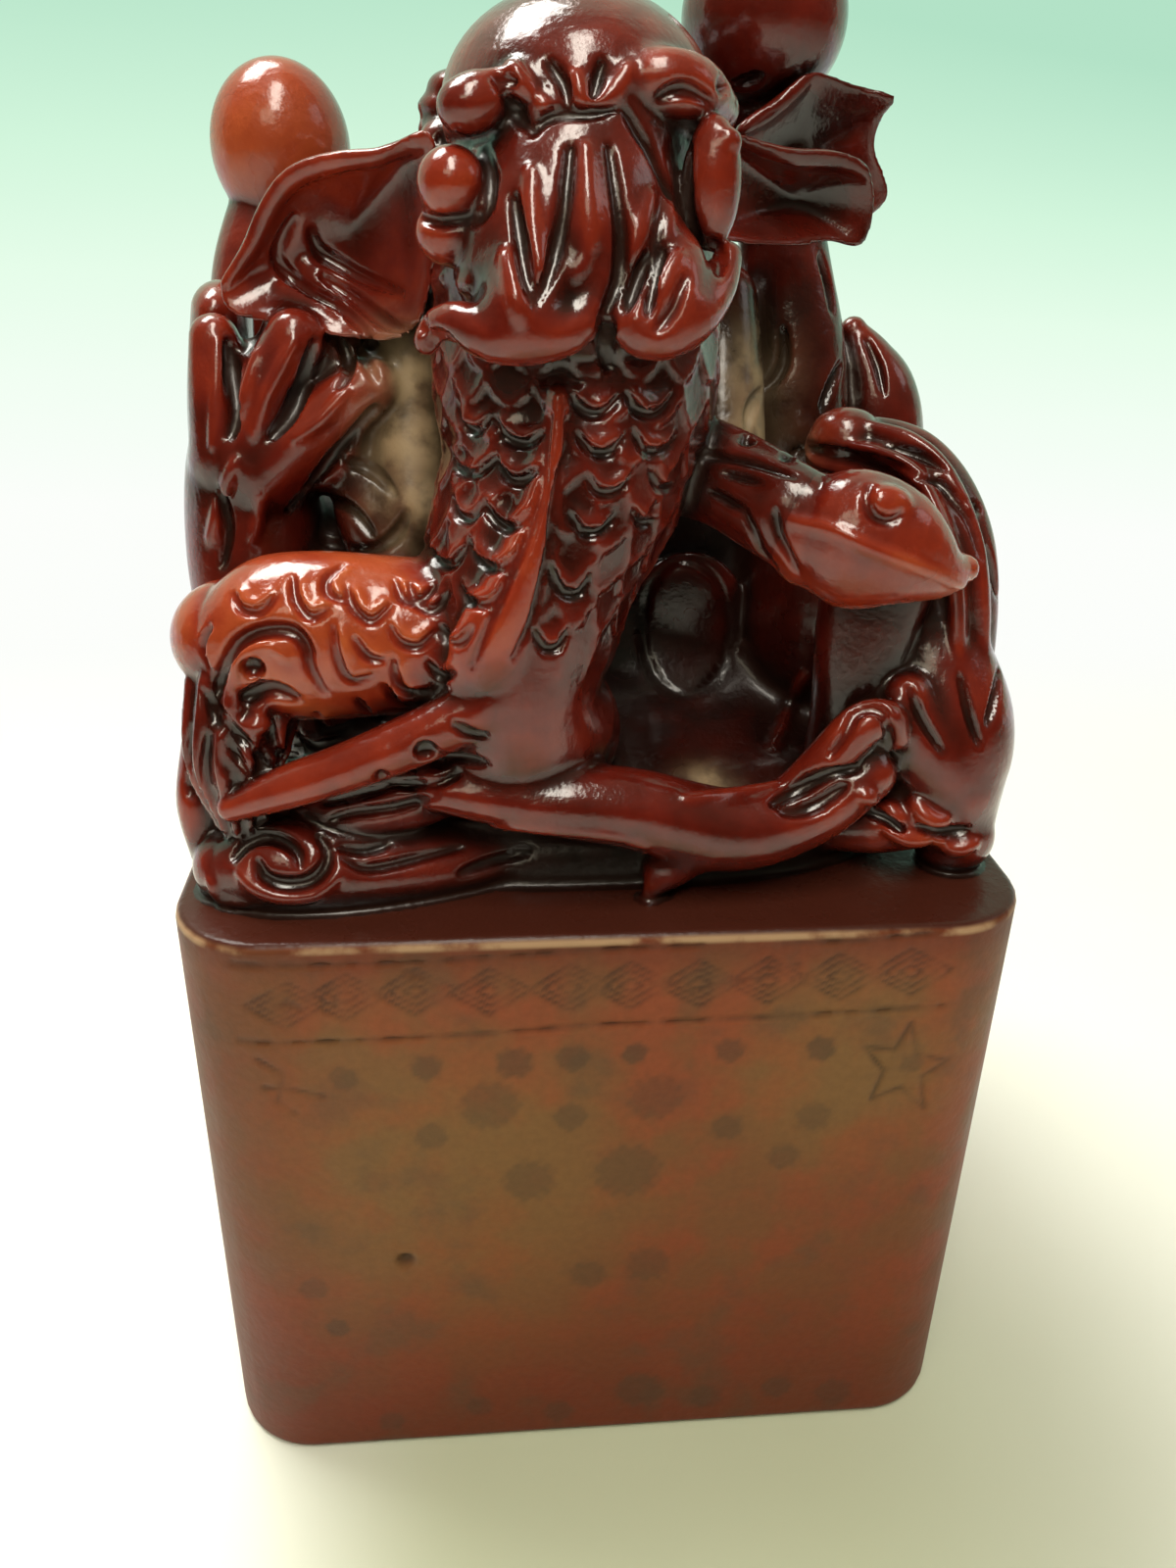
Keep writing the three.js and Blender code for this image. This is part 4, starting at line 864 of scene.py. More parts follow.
# %% Sides and back
seen_strokes = len(strokes)
haunch_spiral = [
    (42, 13), (45, 15), (49, 14), (48, 10.4), (41, 8.6), (35, 11), (34, 16), (41, 19.6), (50, 19),
    (57, 14.4), (55, 8),
]
cut(0.6, 0.75, haunch_spiral)
haunch_ridge = [(40, 11.6), (38, 14.6), (42, 17.4), (49, 16.8), (53, 13)]
rise(0.6, 0.45, haunch_ridge)
claw_cuts = [
    [(62, 0.8), (60, 3), (61, 5.4)], [(66.5, 0.8), (65, 2.6), (66, 4.6)], [(50, 5.4), (44, 5), (38, 3.8)],
]
cut(0.45, 0.6, *claw_cuts)
haunch_scales = [
    [(26, 20), (29, 16.6), (33, 17)], [(26, 14.6), (28, 11.6), (32, 12)], [(28, 9), (31, 6), (35, 6.6)],
    [(20, 17.6), (22, 14.4), (26, 14.6)], [(20, 11.8), (22, 8.6), (27, 9)],
]
scale(*haunch_scales)
facet_cuts = [
    [(66, 20), (69, 26), (67, 32)], [(72, 7), (69, 12), (71, 17), (68, 22)], [(58, 24), (62, 29), (60, 35)],
    [(76, 10), (74, 15), (77, 20)], [(12, 26), (16, 21), (13, 15)],
]
cut(0.6, 0.8, *facet_cuts)
facet_ridges = [
    [(70, 20), (73, 26), (71, 32)], [(63, 21), (65, 26), (63, 31)], [(76, 22), (78, 28), (76, 33)],
    [(69, 7), (66, 12), (67, 17)], [(8, 24), (11, 19), (9, 13)],
]
rise(0.8, 0.6, *facet_ridges)
strokes += [(sign, half, deep, [(180 - angle, up) for angle, up in path])
            for sign, half, deep, path in strokes[seen_strokes:]]
for rib in (28, 33):
    cut(0.45, 0.5, [(80, rib), (90, rib - 2.4), (100, rib)])

# %% Cut them
paths = [along(path) for *tool, path in strokes[:seen_strokes]]
round_paths = [along(path, 0.8) for *tool, path in strokes[seen_strokes:]]
spots = np.vstack([seen(np.vstack(paths)), faced(np.vstack(round_paths))])
facing = unit(slope(spread(carving[::2, ::2, ::2], 0.7).repeat(2, 0).repeat(2, 1).repeat(2, 2), spots))
lines = paths + round_paths
laid = []
for (*tool, path), line, end in zip(strokes, lines, np.cumsum([len(line) for line in lines])):
    part = slice(end - len(line), end)
    laid += [(*tool, spots[part][run], facing[part][run]) for run in runs(spots[part])]
for sign, half, deep, points, normals in sorted(laid, key=lambda item: -item[0]):
    lay(points, normals, sign, half, deep)
print(len(strokes), "strokes laid in", len(laid), "runs")

# %% [markdown]
# ## Pieces out of the field
# Each form becomes a piece of its own: the carving's surface where the form is the nearest one, and a hidden
# tongue that dips under the neighbours, so no light shows between two pieces.

# %% Ridges, hollows and the pieces
stride = 2
filled = np.clip(0.5 - carving[::stride, ::stride, ::stride] / (PITCH * stride), 0, 1)
# The ridge field finds raised ridges and creases, the hollow field broad hollows; the lacquer paints shade into
# the creases and hollows.
ridge_field = spread(filled, 0.9 / (PITCH * stride))
hollow_field = spread(filled[::2, ::2, ::2], 3.5 / (PITCH * stride * 2))
DIP = 0.1
TONGUE = 0.9


def piece_from(corner, own, step=1):
    """The surface of the carving, cut off a tongue's length away from the form and sunk by the dip where
    another form is nearer. With a step of two, it is drawn through every second sample."""
    spot = window(corner, own)
    other = np.clip(own - first[spot], 0, DIP)
    kept = np.maximum(np.maximum(carving[spot] + other, own - TONGUE), -1.5 - height[spot])
    kept = np.pad(kept, step, constant_values=BAND)
    x, y, z = skip = (step - corner - LOW) % step
    kept = np.ascontiguousarray(kept[x::step, y::step, z::step])
    grid = vdb.FloatGrid(BAND)
    grid.copyFromArray(kept, ijk=tuple(int(value) for value in (corner + LOW - step + skip) // step))
    grid.transform = vdb.createLinearTransform(voxelSize=PITCH * step)
    points, quads = grid.convertToQuads(0.0)
    points = points.astype(float)
    a, b, c, d = (points[quads[:, n]] for n in range(4))
    if (np.cross(c - a, d - b) * (a + c - 2 * points.mean(0))).sum() < 0:
        quads = quads[:, ::-1]
    return points, quads


def add_mesh(name, points, quads):
    """An object of quads whose points are given in mm above the ledge."""
    mesh = bpy.data.meshes.new(name)
    mesh.vertices.add(len(points))
    mesh.vertices.foreach_set("co", ((points + [0, 0, LEDGE]) * MM).astype(np.float32).ravel())
    mesh.loops.add(quads.size)
    mesh.loops.foreach_set("vertex_index", quads.astype(np.int32).ravel())
    mesh.polygons.add(len(quads))
    mesh.polygons.foreach_set("loop_start", np.arange(0, quads.size, 4, dtype=np.int32))
    mesh.polygons.foreach_set("use_smooth", np.ones(len(quads), bool))
    mesh.update(calc_edges=True)
    return added(name, mesh)


def mark(piece, name, values):
    """Keep one number per point of the mesh, for its material to read."""
    layer = piece.data.attributes.new(name, "FLOAT", "POINT")
    layer.data.foreach_set("value", np.asarray(values, np.float32))


slots = {part["node"]: part["material_slot"] for part in frame["record"]["subparts"]}
dusty = seen([(418, 380), (418, 450), (420, 510), (772, 380), (775, 440), (722, 798)])
dust_reach = np.array([2.6, 3.0, 2.8, 3.4, 3.4, 1.6])
carved_pieces = []
for item in forms:
    step = 2 if item["name"] == "rock_core" else 1
    points, quads = piece_from(item["corner"], item["field"], step)
    piece = add_mesh("carved_" + item["name"], points, quads)
    piece.data.normals_split_custom_set_from_vertices(unit(slope(carving, points)).tolist())
    away = np.linalg.norm(points[:, None] - dusty, axis=2) / dust_reach
    mark(piece, "warmth", read(warmth, points))
    mark(piece, "ridge", read(ridge_field, points, stride))
    # The hollow mark carries the broad hollows into which the lacquer paints shade.
    mark(piece, "hollow", read(hollow_field, points, stride * 2))
    mark(piece, "dust", np.exp(-away.min(1) ** 2))
    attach(piece, "root")
    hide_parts(item["name"])
    carved_pieces.append(piece)
print("the carving has", sum(len(piece.data.polygons) for piece in carved_pieces), "quads in", len(forms),
    "pieces")

# %% [markdown]
# ## The block
# The block is sawn, ground square and rubbed to a satin face. Its lines are scratched in with a steel point,
# and its underside carries a fret of square grooves, each left open by a bridge on another side. The skin is
# one grid: rings run from the middle of the ledge, over the soft edge, down the faces, and in again over the
# fret. The front has more points than the other sides, because it carries the scratches.

# %% Sizes of the block
block_low, block_high = (np.array(corner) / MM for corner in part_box("seal_block"))
HALF = (block_high[0] - block_low[0]) / 2
CORNER, EDGE = 6.8, 0.7
BAR, GROOVE, MARGIN, BRIDGE, DEEP = 2.6, 2.9, 4.0, 3.4, 1.3
sides = [270, 46, 46, 46]
print("block", np.round(block_high - block_low, 2), "mm")


def to_side(side, x, y):
    """Points of the front turned about the upright axis to another side."""
    angle = side * np.pi / 2
    return np.stack([x * np.cos(angle) - y * np.sin(angle), x * np.sin(angle) + y * np.cos(angle)], -1)


def outline(inset, size=1.0):
    """One ring of the rounded square: along a side the place is the arc length from its middle, and past the
    straight part it follows the corner's quarter circle, half for each side."""
    half, round_ = (HALF - inset) * size, max(CORNER - inset, 0.5) * size
    straight = half - round_
    ring = []
    for side, count in enumerate(sides):
        arc = np.linspace(-1, 1, count, endpoint=False) * (straight + round_ * np.pi / 4)
        bend = np.clip(np.abs(arc) - straight, 0, None) / round_
        x = np.sign(arc) * (np.minimum(np.abs(arc), straight) + round_ * np.sin(bend))
        y = -(straight + round_ * np.cos(bend))
        ring.append(to_side(side, x, y))
    return np.vstack(ring)


def square(half, bridge_side=None):
    """One ring of a plain square. Two points of each side stand close together at each edge of the bridge, so
    that its walls are steep. It also tells which points lie off the bridge, and so sink with the groove."""
    ring, sunk = [], []
    for side, count in enumerate(sides):
        stops = np.round(np.array([0, 0.45, 0.55, 1]) * count).astype(int)
        across = np.interp(np.arange(count), [0, stops[1] - 1, stops[1], stops[2], stops[2] + 1, count],
                           [-half, -BRIDGE / 2 - 0.05, -BRIDGE / 2, BRIDGE / 2, BRIDGE / 2 + 0.05, half])
        ring.append(to_side(side, across, -half))
        off_bridge = np.abs(across) > BRIDGE / 2 + 0.01
        sunk.append((off_bridge | (side != bridge_side)) * 1.0)
    return np.vstack(ring), np.concatenate(sunk)


# %% The rings of the block
def at(ring, heights):
    """A flat ring lifted to a height, or to a height for each of its points."""
    return np.c_[ring, np.full(len(ring), heights)]


rings = [at(outline(EDGE, size), LEDGE) for size in np.linspace(0.04, 1, 30) ** 0.7]
for bend in np.linspace(0, np.pi / 2, 8)[1:]:
    rings.append(at(outline(EDGE * (1 - np.sin(bend))), LEDGE - EDGE * (1 - np.cos(bend))))
rings += [at(outline(0), z) for z in np.linspace(LEDGE - EDGE, EDGE, 170)[1:]]
for bend in np.linspace(0, np.pi / 2, 7)[1:]:
    rings.append(at(outline(EDGE * (1 - np.cos(bend))), EDGE * (1 - np.sin(bend))))
half = HALF - MARGIN
for bridge_side in (2, 3, 0, 1):
    outer, sunk = square(half, bridge_side)
    inner = square(half - GROOVE, bridge_side)[0]
    rings += [at(outer, 0), at(outer, DEEP * sunk), at(inner, DEEP * sunk), at(inner, 0)]
    half -= BAR + GROOVE
rings.append(at(square(half)[0] * 0.5, 0))
rings = np.array(rings)
print("block rings", rings.shape)

# %% [markdown]
# The scratches are polylines on the front face: two long lines with nested diamonds between them, loose
# strokes and a star. The face sinks by a bell curve of the distance to the nearest of them, and once more
# at a round pit. Round dabs of old colour are kept as a mask for the stain.

# %% Scratches on the front
def on_front(pixels):
    """Where the rays through pixels meet the plane of the front face, as x and height in mm."""
    start, way = ray(pixels)
    reach = (-HALF - start[1]) / way[:, 1]
    return (start + way * reach[:, None])[:, [0, 2]] + [0, LEDGE]


def woven(u, v, reach=42, up=23):
    """Three diamonds round a pixel, one inside the other."""
    corners = [(-reach, 2), (0, -up), (reach, -2), (0, up), (-reach, 2)]
    return [(0.17, 0.15, [(u + x * share, v + y * share) for x, y in corners]) for share in (1, 0.66, 0.3)]


def star(u, v, out=46, inner=20):
    """A five-pointed star round a pixel, with its points and its inner corners by turns."""
    turn = np.arange(11) * np.pi / 5 - 1.4
    reach = np.where(np.arange(11) % 2, inner, out)
    return np.stack([u + reach * np.cos(turn), v + reach * np.sin(turn)], -1)


scratches = [
    (0.22, 0.26, [(236, 986), (330, 985), (430, 982), (560, 973), (640, 968), (716, 965)]),
    (0.2, 0.2, [(800, 962), (880, 960), (960, 952)]),
    (0.2, 0.24, [(244, 1065), (350, 1063), (500, 1055), (600, 1047), (700, 1042), (830, 1036), (962, 1027)]),
    (0.3, 0.3, [(415, 992), (432, 998), (444, 1006)]), (0.3, 0.22, [(276, 1030), (292, 1024), (305, 1030)]),
    (0.22, 0.2, [(270, 1111), (298, 1112), (330, 1119)]), (0.2, 0.16, [(340, 1024), (362, 1020)]),
    (0.2, 0.16, [(780, 988), (815, 985)]), (0.2, 0.16, [(700, 1012), (745, 1002), (790, 996)]),
    (0.2, 0.17, star(922, 1090)), (0.2, 0.2, [(262, 1082), (290, 1096), (284, 1124), (302, 1136)]),
]
diamonds = [(292, 1026), (352, 1018), (424, 1012), (500, 1012), (582, 1008), (644, 1006), (714, 1004),
            (784, 1001), (858, 997), (930, 992)]
for u, v in diamonds:
    scratches += woven(u, v)
dabs = [(350, 1100, 15), (435, 1090, 16), (525, 1085, 19), (585, 1080, 17), (648, 1075, 13), (745, 1072, 15),
        (838, 1070, 15), (500, 1128, 30), (670, 1120, 28), (582, 1140, 17), (440, 1160, 17), (742, 1150, 16),
        (830, 1140, 18), (800, 1180, 16), (540, 1205, 26), (640, 1195, 34), (400, 1450, 13), (490, 1435, 13),
        (570, 1440, 15), (652, 1418, 24), (720, 1425, 16), (792, 1415, 15), (850, 1420, 18), (320, 1315, 15),
        (345, 1355, 12), (930, 1085, 12), (660, 1290, 22), (600, 1300, 18)]
face = rings[:, :sides[0]].reshape(-1, 3)[:, [0, 2]]
front = (rings[:, :sides[0], 1] < -HALF + 0.6).ravel() & (face[:, 1] > 0.5)
sunk, cut_mask, stain = np.zeros(len(face)), np.zeros(len(face)), np.zeros(len(face))
for width, deep, path in scratches:
    line = on_front(path)
    near = np.full(len(face), 9.0)
    for a, b in zip(line, line[1:]):
        share = np.clip((face - a) @ (b - a) / max((b - a) @ (b - a), 1e-9), 0, 1)
        near = np.minimum(near, np.linalg.norm(face - a - share[:, None] * (b - a), axis=1))
    broken = 0.6 + 0.4 * np.sin(face[:, 0] * 2.1 + 9 * width) * np.sin(face[:, 0] * 0.83 + 2)
    bell = np.exp(-(near / width) ** 2) * broken
    sunk, cut_mask = np.maximum(sunk, deep * bell), np.maximum(cut_mask, bell)
for u, v, size in dabs:
    centre, rim = on_front([(u, v), (u + size, v)])
    away = np.linalg.norm(face - centre, axis=1) / np.linalg.norm(rim - centre)
    ragged = away + 0.14 * np.sin(face[:, 0] * 5.3 + u) * np.sin(face[:, 1] * 4.7 + v)
    stain = np.maximum(stain, np.clip((1.15 - ragged) * 3, 0, 1) * (0.6 + 0.04 * (u % 10)))
pit, rim = on_front([(414, 1287), (423, 1287)])
hole = np.exp(-(np.linalg.norm(face - pit, axis=1) / np.linalg.norm(rim - pit)) ** 4)
sunk, cut_mask = np.maximum(sunk, 0.5 * hole), np.maximum(cut_mask, hole)
rings[:, :sides[0], 1] += (sunk * front).reshape(len(rings), -1)
print(int((cut_mask > 0.5).sum()), "points lie in scratches")

# %% The block's mesh
points, quads, triangles = skin([0, 0, LEDGE], rings[:, ::-1], [0, 0, 0])
block_mesh = bpy.data.meshes.new("carved_block")
block_mesh.from_pydata((points * MM).tolist(), [], quads.tolist() + triangles.tolist())
block_mesh.polygons.foreach_set("use_smooth", np.ones(len(block_mesh.polygons), bool))
block = added("carved_block", block_mesh)
for name, mask in (("cut", cut_mask), ("stain", stain)):
    whole = np.zeros(rings.shape[:2])
    whole[:, :sides[0]] = (mask * front).reshape(len(rings), -1)
    mark(block, name, np.concatenate([[0], whole[:, ::-1].ravel(), [0]]))
block_mesh.set_sharp_from_angle(angle=np.radians(40))
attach(block, "root")
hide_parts("seal_block")
print("block mesh", len(block_mesh.polygons), "faces")

# %% [markdown]
# ## Finishes
# Two finishes cover the stamp. The knob was stained crimson, lacquered thickly and rubbed: the lacquer is
# orange where it is raised, crimson on the flanks and almost black in its creases and hollows, where pooled
# lacquer and painted shade are laid on together. The block was stained thinly and handled, so it is satin,
# brown and blotched.

# %% Nodes in a line
def put(tree, kind, feeds=None, **settings):
    """One shader node. Each feed is a value for a socket, or another node's output linked to it."""
    node = tree.nodes.new("ShaderNode" + kind)
    for name, value in settings.items():
        setattr(node, name, value)
    for name, value in (feeds or {}).items():
        if isinstance(value, bpy.types.NodeSocket):
            tree.links.new(value, node.inputs[name])
        else:
            node.inputs[name].default_value = value
    return node


def number(tree, operation, *feeds, clamp=False):
    """The result of a sum on numbers or outputs."""
    return put(tree, "Math", dict(enumerate(feeds)), operation=operation, use_clamp=clamp).outputs[0]


def ramp(tree, value, *stops):
    """A colour for each value, straight between the stops."""
    node = put(tree, "ValToRGB", {"Fac": value})
    while len(node.color_ramp.elements) < len(stops):
        node.color_ramp.elements.new(0.5)
    for element, (place, color) in zip(node.color_ramp.elements, stops):
        element.position = place
        element.color = (*color, 1)
    return node.outputs["Color"]


def between(tree, value, low, high):
    """Nothing below the low value, one above the high one, smooth between."""
    return put(tree, "MapRange", {"Value": value, "From Min": low, "From Max": high},
               interpolation_type="SMOOTHSTEP").outputs["Result"]


def noise(tree, place, scale, detail):
    """Cloudy values from 0 to 1, with so many of their larger waves to a metre."""
    return put(tree, "TexNoise", {"Vector": place, "Scale": scale, "Detail": detail}).outputs["Fac"]


def blend(tree, share, one, other, how="MIX"):
    """A share of the way from one colour to the other."""
    node = put(tree, "Mix", {"Factor": share}, data_type="RGBA", blend_type=how)
    for socket, value in ((node.inputs[6], one), (node.inputs[7], other)):
        if isinstance(value, bpy.types.NodeSocket):
            tree.links.new(value, socket)
        else:
            socket.default_value = (*value, 1)
    return node.outputs[2]


def group(name, takes, gives):
    """An empty group of nodes with named inputs and outputs."""
    tree = bpy.data.node_groups.new(name, "ShaderNodeTree")
    for label, kind in takes:
        tree.interface.new_socket(label, in_out="INPUT", socket_type="NodeSocket" + kind)
    for label, kind in gives:
        tree.interface.new_socket(label, in_out="OUTPUT", socket_type="NodeSocket" + kind)
    return tree, tree.nodes.new("NodeGroupInput"), tree.nodes.new("NodeGroupOutput")


# %% The lacquer's colour, roughness and bump
def swing(value, size):
    """How far a noise lies off its middle, times a size."""
    return number(lacquer, "MULTIPLY", number(lacquer, "SUBTRACT", value, 0.5), size)


# The near-black colour below is pooled lacquer and painted shade in the creases and hollows.
POOLED_AND_SHADE, DUST = (0.026, 0.009, 0.005), (0.42, 0.3, 0.165)
LOOK = [("Colour", "Color"), ("Roughness", "Float"), ("Height", "Float")]
MARKS = ("Warmth", "Ridge", "Hollow", "Dust")
takes = [("Place", "Vector")] + [(label, "Float") for label in MARKS]
lacquer, given, result = group("rubbed lacquer", takes, LOOK + [("Open", "Float")])
place, warm, ridge, hollow, dust = given.outputs[:5]
broad = noise(lacquer, place, 95, 4)
fine = noise(lacquer, place, 420, 4)
grain = noise(lacquer, place, 2200, 2)
raised = number(lacquer, "MULTIPLY", number(lacquer, "SUBTRACT", 0.5, ridge), 2.2)
raised = number(lacquer, "MINIMUM", raised, 0.22)
tone = number(lacquer, "ADD", number(lacquer, "MULTIPLY", warm, 0.62), raised)
tone = number(lacquer, "ADD", tone, swing(broad, 0.7))
tone = number(lacquer, "ADD", tone, swing(fine, 0.3), clamp=True)
colour = ramp(lacquer, tone,
              (0.0, (0.014, 0.003, 0.002)), (0.2, (0.05, 0.005, 0.0025)), (0.4, (0.125, 0.01, 0.005)),
              (0.6, (0.25, 0.024, 0.008)), (0.85, (0.4, 0.07, 0.02)), (1.0, (0.5, 0.125, 0.035)))
# Painted shade: the creases and the broad hollows are darkened towards near black, along with the lacquer
# pooled there, and lose their clear coat.
crevice_shade = between(lacquer, ridge, 0.55, 0.72)
hollow_shade = between(lacquer, hollow, 0.52, 0.82)
dark = number(lacquer, "MAXIMUM", number(lacquer, "MULTIPLY", crevice_shade, 0.6),
    number(lacquer, "MULTIPLY", hollow_shade, 0.7))
colour = blend(lacquer, dark, colour, POOLED_AND_SHADE)
patches = number(lacquer, "MULTIPLY_ADD", between(lacquer, fine, 0.3, 0.6), 0.6, 0.22)
powder = number(lacquer, "MULTIPLY", dust, patches, clamp=True)
colour = blend(lacquer, powder, colour, DUST)
rough = number(lacquer, "MULTIPLY_ADD", between(lacquer, broad, 0.35, 0.75), 0.14, 0.17)
rough = number(lacquer, "ADD", rough, number(lacquer, "MULTIPLY", dark, 0.3))
rough = number(lacquer, "ADD", rough, number(lacquer, "MULTIPLY", powder, 0.5), clamp=True)
open_share = number(lacquer, "SUBTRACT", 1, number(lacquer, "MAXIMUM", dark, powder), clamp=True)
height = number(lacquer, "MULTIPLY_ADD", grain, 0.25, fine)
for label, socket in (("Colour", colour), ("Roughness", rough), ("Height", height), ("Open", open_share)):
    lacquer.links.new(socket, result.inputs[label])
print("lacquer group has", len(lacquer.nodes), "nodes")

# %% A material from a group
def material(name):
    """A new material, its node tree and its shader."""
    made = bpy.data.materials.new(name)
    made.use_nodes = True
    return made, made.node_tree, made.node_tree.nodes["Principled BSDF"]


def dressed(name, look, marks, bumps, specular):
    """A material that shows what a group makes of the place and of the marks on the mesh."""
    made, tree, shader = material(name)
    user = put(tree, "Group", node_tree=look)
    tree.links.new(put(tree, "TexCoord").outputs["Object"], user.inputs["Place"])
    for label in marks:
        mesh_mark = put(tree, "Attribute", attribute_name=label.lower())
        tree.links.new(mesh_mark.outputs["Fac"], user.inputs[label])
    bump = put(tree, "Bump", {"Height": user.outputs["Height"], "Strength": bumps[0], "Distance": bumps[1]})
    tree.links.new(user.outputs["Colour"], shader.inputs["Base Color"])
    tree.links.new(user.outputs["Roughness"], shader.inputs["Roughness"])
    tree.links.new(bump.outputs["Normal"], shader.inputs["Normal"])
    shader.inputs["Specular IOR Level"].default_value = specular
    return made, tree, shader, user


# %% Three depths of lacquer
def lacquered(name, shift, coat):
    """Lacquer with a clear coat where it lies open; the shift makes all of it warmer or darker."""
    made, tree, shader, user = dressed(name, lacquer, MARKS, (0.35, 0.0004), 0.4)
    warm = user.inputs["Warmth"].links[0].from_socket
    tree.links.new(number(tree, "ADD", warm, shift), user.inputs["Warmth"])
    tree.links.new(number(tree, "MULTIPLY", user.outputs["Open"], coat), shader.inputs["Coat Weight"])
    shader.inputs["Coat Roughness"].default_value = 0.1
    return made


depths = (("bright_lacquer", 0.04, 0.5), ("red_lacquer", 0.02, 0.5), ("dark_lacquer", -0.1, 0.35))
finishes = {name: lacquered(name, shift, coat) for name, shift, coat in depths}
for piece in carved_pieces:
    slot = slots[piece.name.removeprefix("carved_")]
    piece.data.materials.append(finishes[slot])

# %% [markdown]
# The stone's stain thins out to olive in two places where it was handled, left of the middle and high on the
# right. It stays red low down and along the top and left edges. Dark specks, dabs and dirt in the scratches
# lie over it, and the rim below the ledge is rubbed pale in spots, a band that is also a painted highlight
# along the ledge's edge.

# %% The stone
BROWNS = (0.25, 0.059, 0.021), (0.19, 0.073, 0.026)
OLIVES = (0.24, 0.09, 0.027), (0.205, 0.104, 0.034)
LOW_RED, EDGE_RED, LEDGE_RED = (0.155, 0.024, 0.009), (0.12, 0.026, 0.01), (0.06, 0.014, 0.008)
SPECK, DAB, DIRT = (0.09, 0.06, 0.035), (0.055, 0.036, 0.022), (0.028, 0.016, 0.01)
# The pale rim colour is wear and a painted highlight together.
WORN_AND_HIGHLIGHT = (0.4, 0.25, 0.14)
takes = [("Place", "Vector"), ("Cut", "Float"), ("Stain", "Float")]
stone, given, result = group("stained stone", takes, LOOK)
place, cuts, stains = given.outputs[:3]
axes = put(stone, "SeparateXYZ", {"Vector": place}).outputs
broad = noise(stone, place, 45, 5)
spots = noise(stone, place, 190, 5)
grain = noise(stone, place, 1500, 3)
upright = put(stone, "CombineXYZ", {"X": axes["X"], "Z": axes["Z"]}).outputs[0]
apart = [put(stone, "VectorMath", {0: upright, 1: spot}, operation="DISTANCE").outputs["Value"]
         for spot in ((-0.012, 0, 0.028), (0.017, 0, 0.037))]
apart = number(stone, "MINIMUM", apart[0], number(stone, "MULTIPLY_ADD", apart[1], 1.4, 0.004))
leaning = number(stone, "MULTIPLY_ADD", broad, 0.03, apart)
olive_share = between(stone, leaning, 0.04, 0.019)
low_share = between(stone, number(stone, "MULTIPLY_ADD", broad, 0.03, axes["Z"]), 0.05, 0.012)
patchy = noise(stone, place, 210, 6)
brown = blend(stone, between(stone, patchy, 0.35, 0.65), *BROWNS)
olive = blend(stone, between(stone, patchy, 0.3, 0.6), *OLIVES)
colour = blend(stone, number(stone, "MULTIPLY", olive_share, 0.85), brown, olive)
red_share = number(stone, "MULTIPLY", low_share, number(stone, "MULTIPLY_ADD", olive_share, -0.45, 0.85))
colour = blend(stone, red_share, colour, LOW_RED)
edge_share = number(stone, "MULTIPLY", between(stone, axes["Z"], 0.0445, 0.0485), 0.7)
left_edge = between(stone, number(stone, "MULTIPLY_ADD", broad, 0.01, axes["X"]), -0.012, -0.026)
edge_share = number(stone, "MAXIMUM", edge_share, number(stone, "MULTIPLY", left_edge, 0.5))
colour = blend(stone, edge_share, colour, EDGE_RED)
spotted = number(stone, "MULTIPLY", between(stone, spots, 0.52, 0.7), 0.4)
colour = blend(stone, spotted, colour, SPECK)
colour = blend(stone, number(stone, "MULTIPLY", stains, 0.62), colour, DAB)
colour = blend(stone, number(stone, "MULTIPLY", cuts, 0.7, clamp=True), colour, DIRT)
shade = ramp(stone, grain, (0.35, (0.72, 0.72, 0.72)), (0.65, (1, 1, 1)))
colour = blend(stone, 0.35, colour, shade, "MULTIPLY")
ledge_share = between(stone, axes["Z"], 0.0486, 0.0489)
colour = blend(stone, ledge_share, colour, LEDGE_RED)
# Painted highlight: a thin pale band along the rim just below the ledge's edge, broken into spots, partly
# rubbed wear.
lip = number(stone, "MULTIPLY", between(stone, axes["Z"], 0.0481, 0.0485),
    number(stone, "SUBTRACT", 1, ledge_share))
worn_and_highlight = number(stone, "MULTIPLY", lip, between(stone, spots, 0.42, 0.56), clamp=True)
colour = blend(stone, worn_and_highlight, colour, WORN_AND_HIGHLIGHT)
rough = number(stone, "MULTIPLY_ADD", spots, 0.25, 0.36)
rough = number(stone, "MULTIPLY_ADD", ledge_share, -0.2, rough)
height = number(stone, "MULTIPLY_ADD", grain, 0.3, spots)
for label, socket in (("Colour", colour), ("Roughness", rough), ("Height", height)):
    stone.links.new(socket, result.inputs[label])

block.data.materials.append(dressed("block_stone", stone, ("Cut", "Stain"), (0.3, 0.0005), 0.22)[0])
print("finishes:", ", ".join([*finishes, "block_stone"]))

# %% [markdown]
# ## Stage and light
# The stamp stands on a sheet of white paper that curves up behind it and turns mint green further up. The
# key lamp stands high behind its left side, a narrow window and a warm lamp shine from the front, a weak one
# fills the right, and the room is dim in front. Far from the stamp the paper and the room show pale to the
# camera. Close in front of the stamp a painted shadow turns the paper a darker olive, as the photograph's is.

# %% Paper
def sweep(depth, height, bend, steps=24):
    """The paper's profile: flat, a quarter circle, and upright, carried straight across."""
    turn = np.linspace(0, np.pi / 2, steps)
    y = np.concatenate([[-1.5], depth - bend + bend * np.sin(turn), [depth]])
    z = np.concatenate([[0], bend - bend * np.cos(turn), [height]])
    return np.stack([y, z], -1)


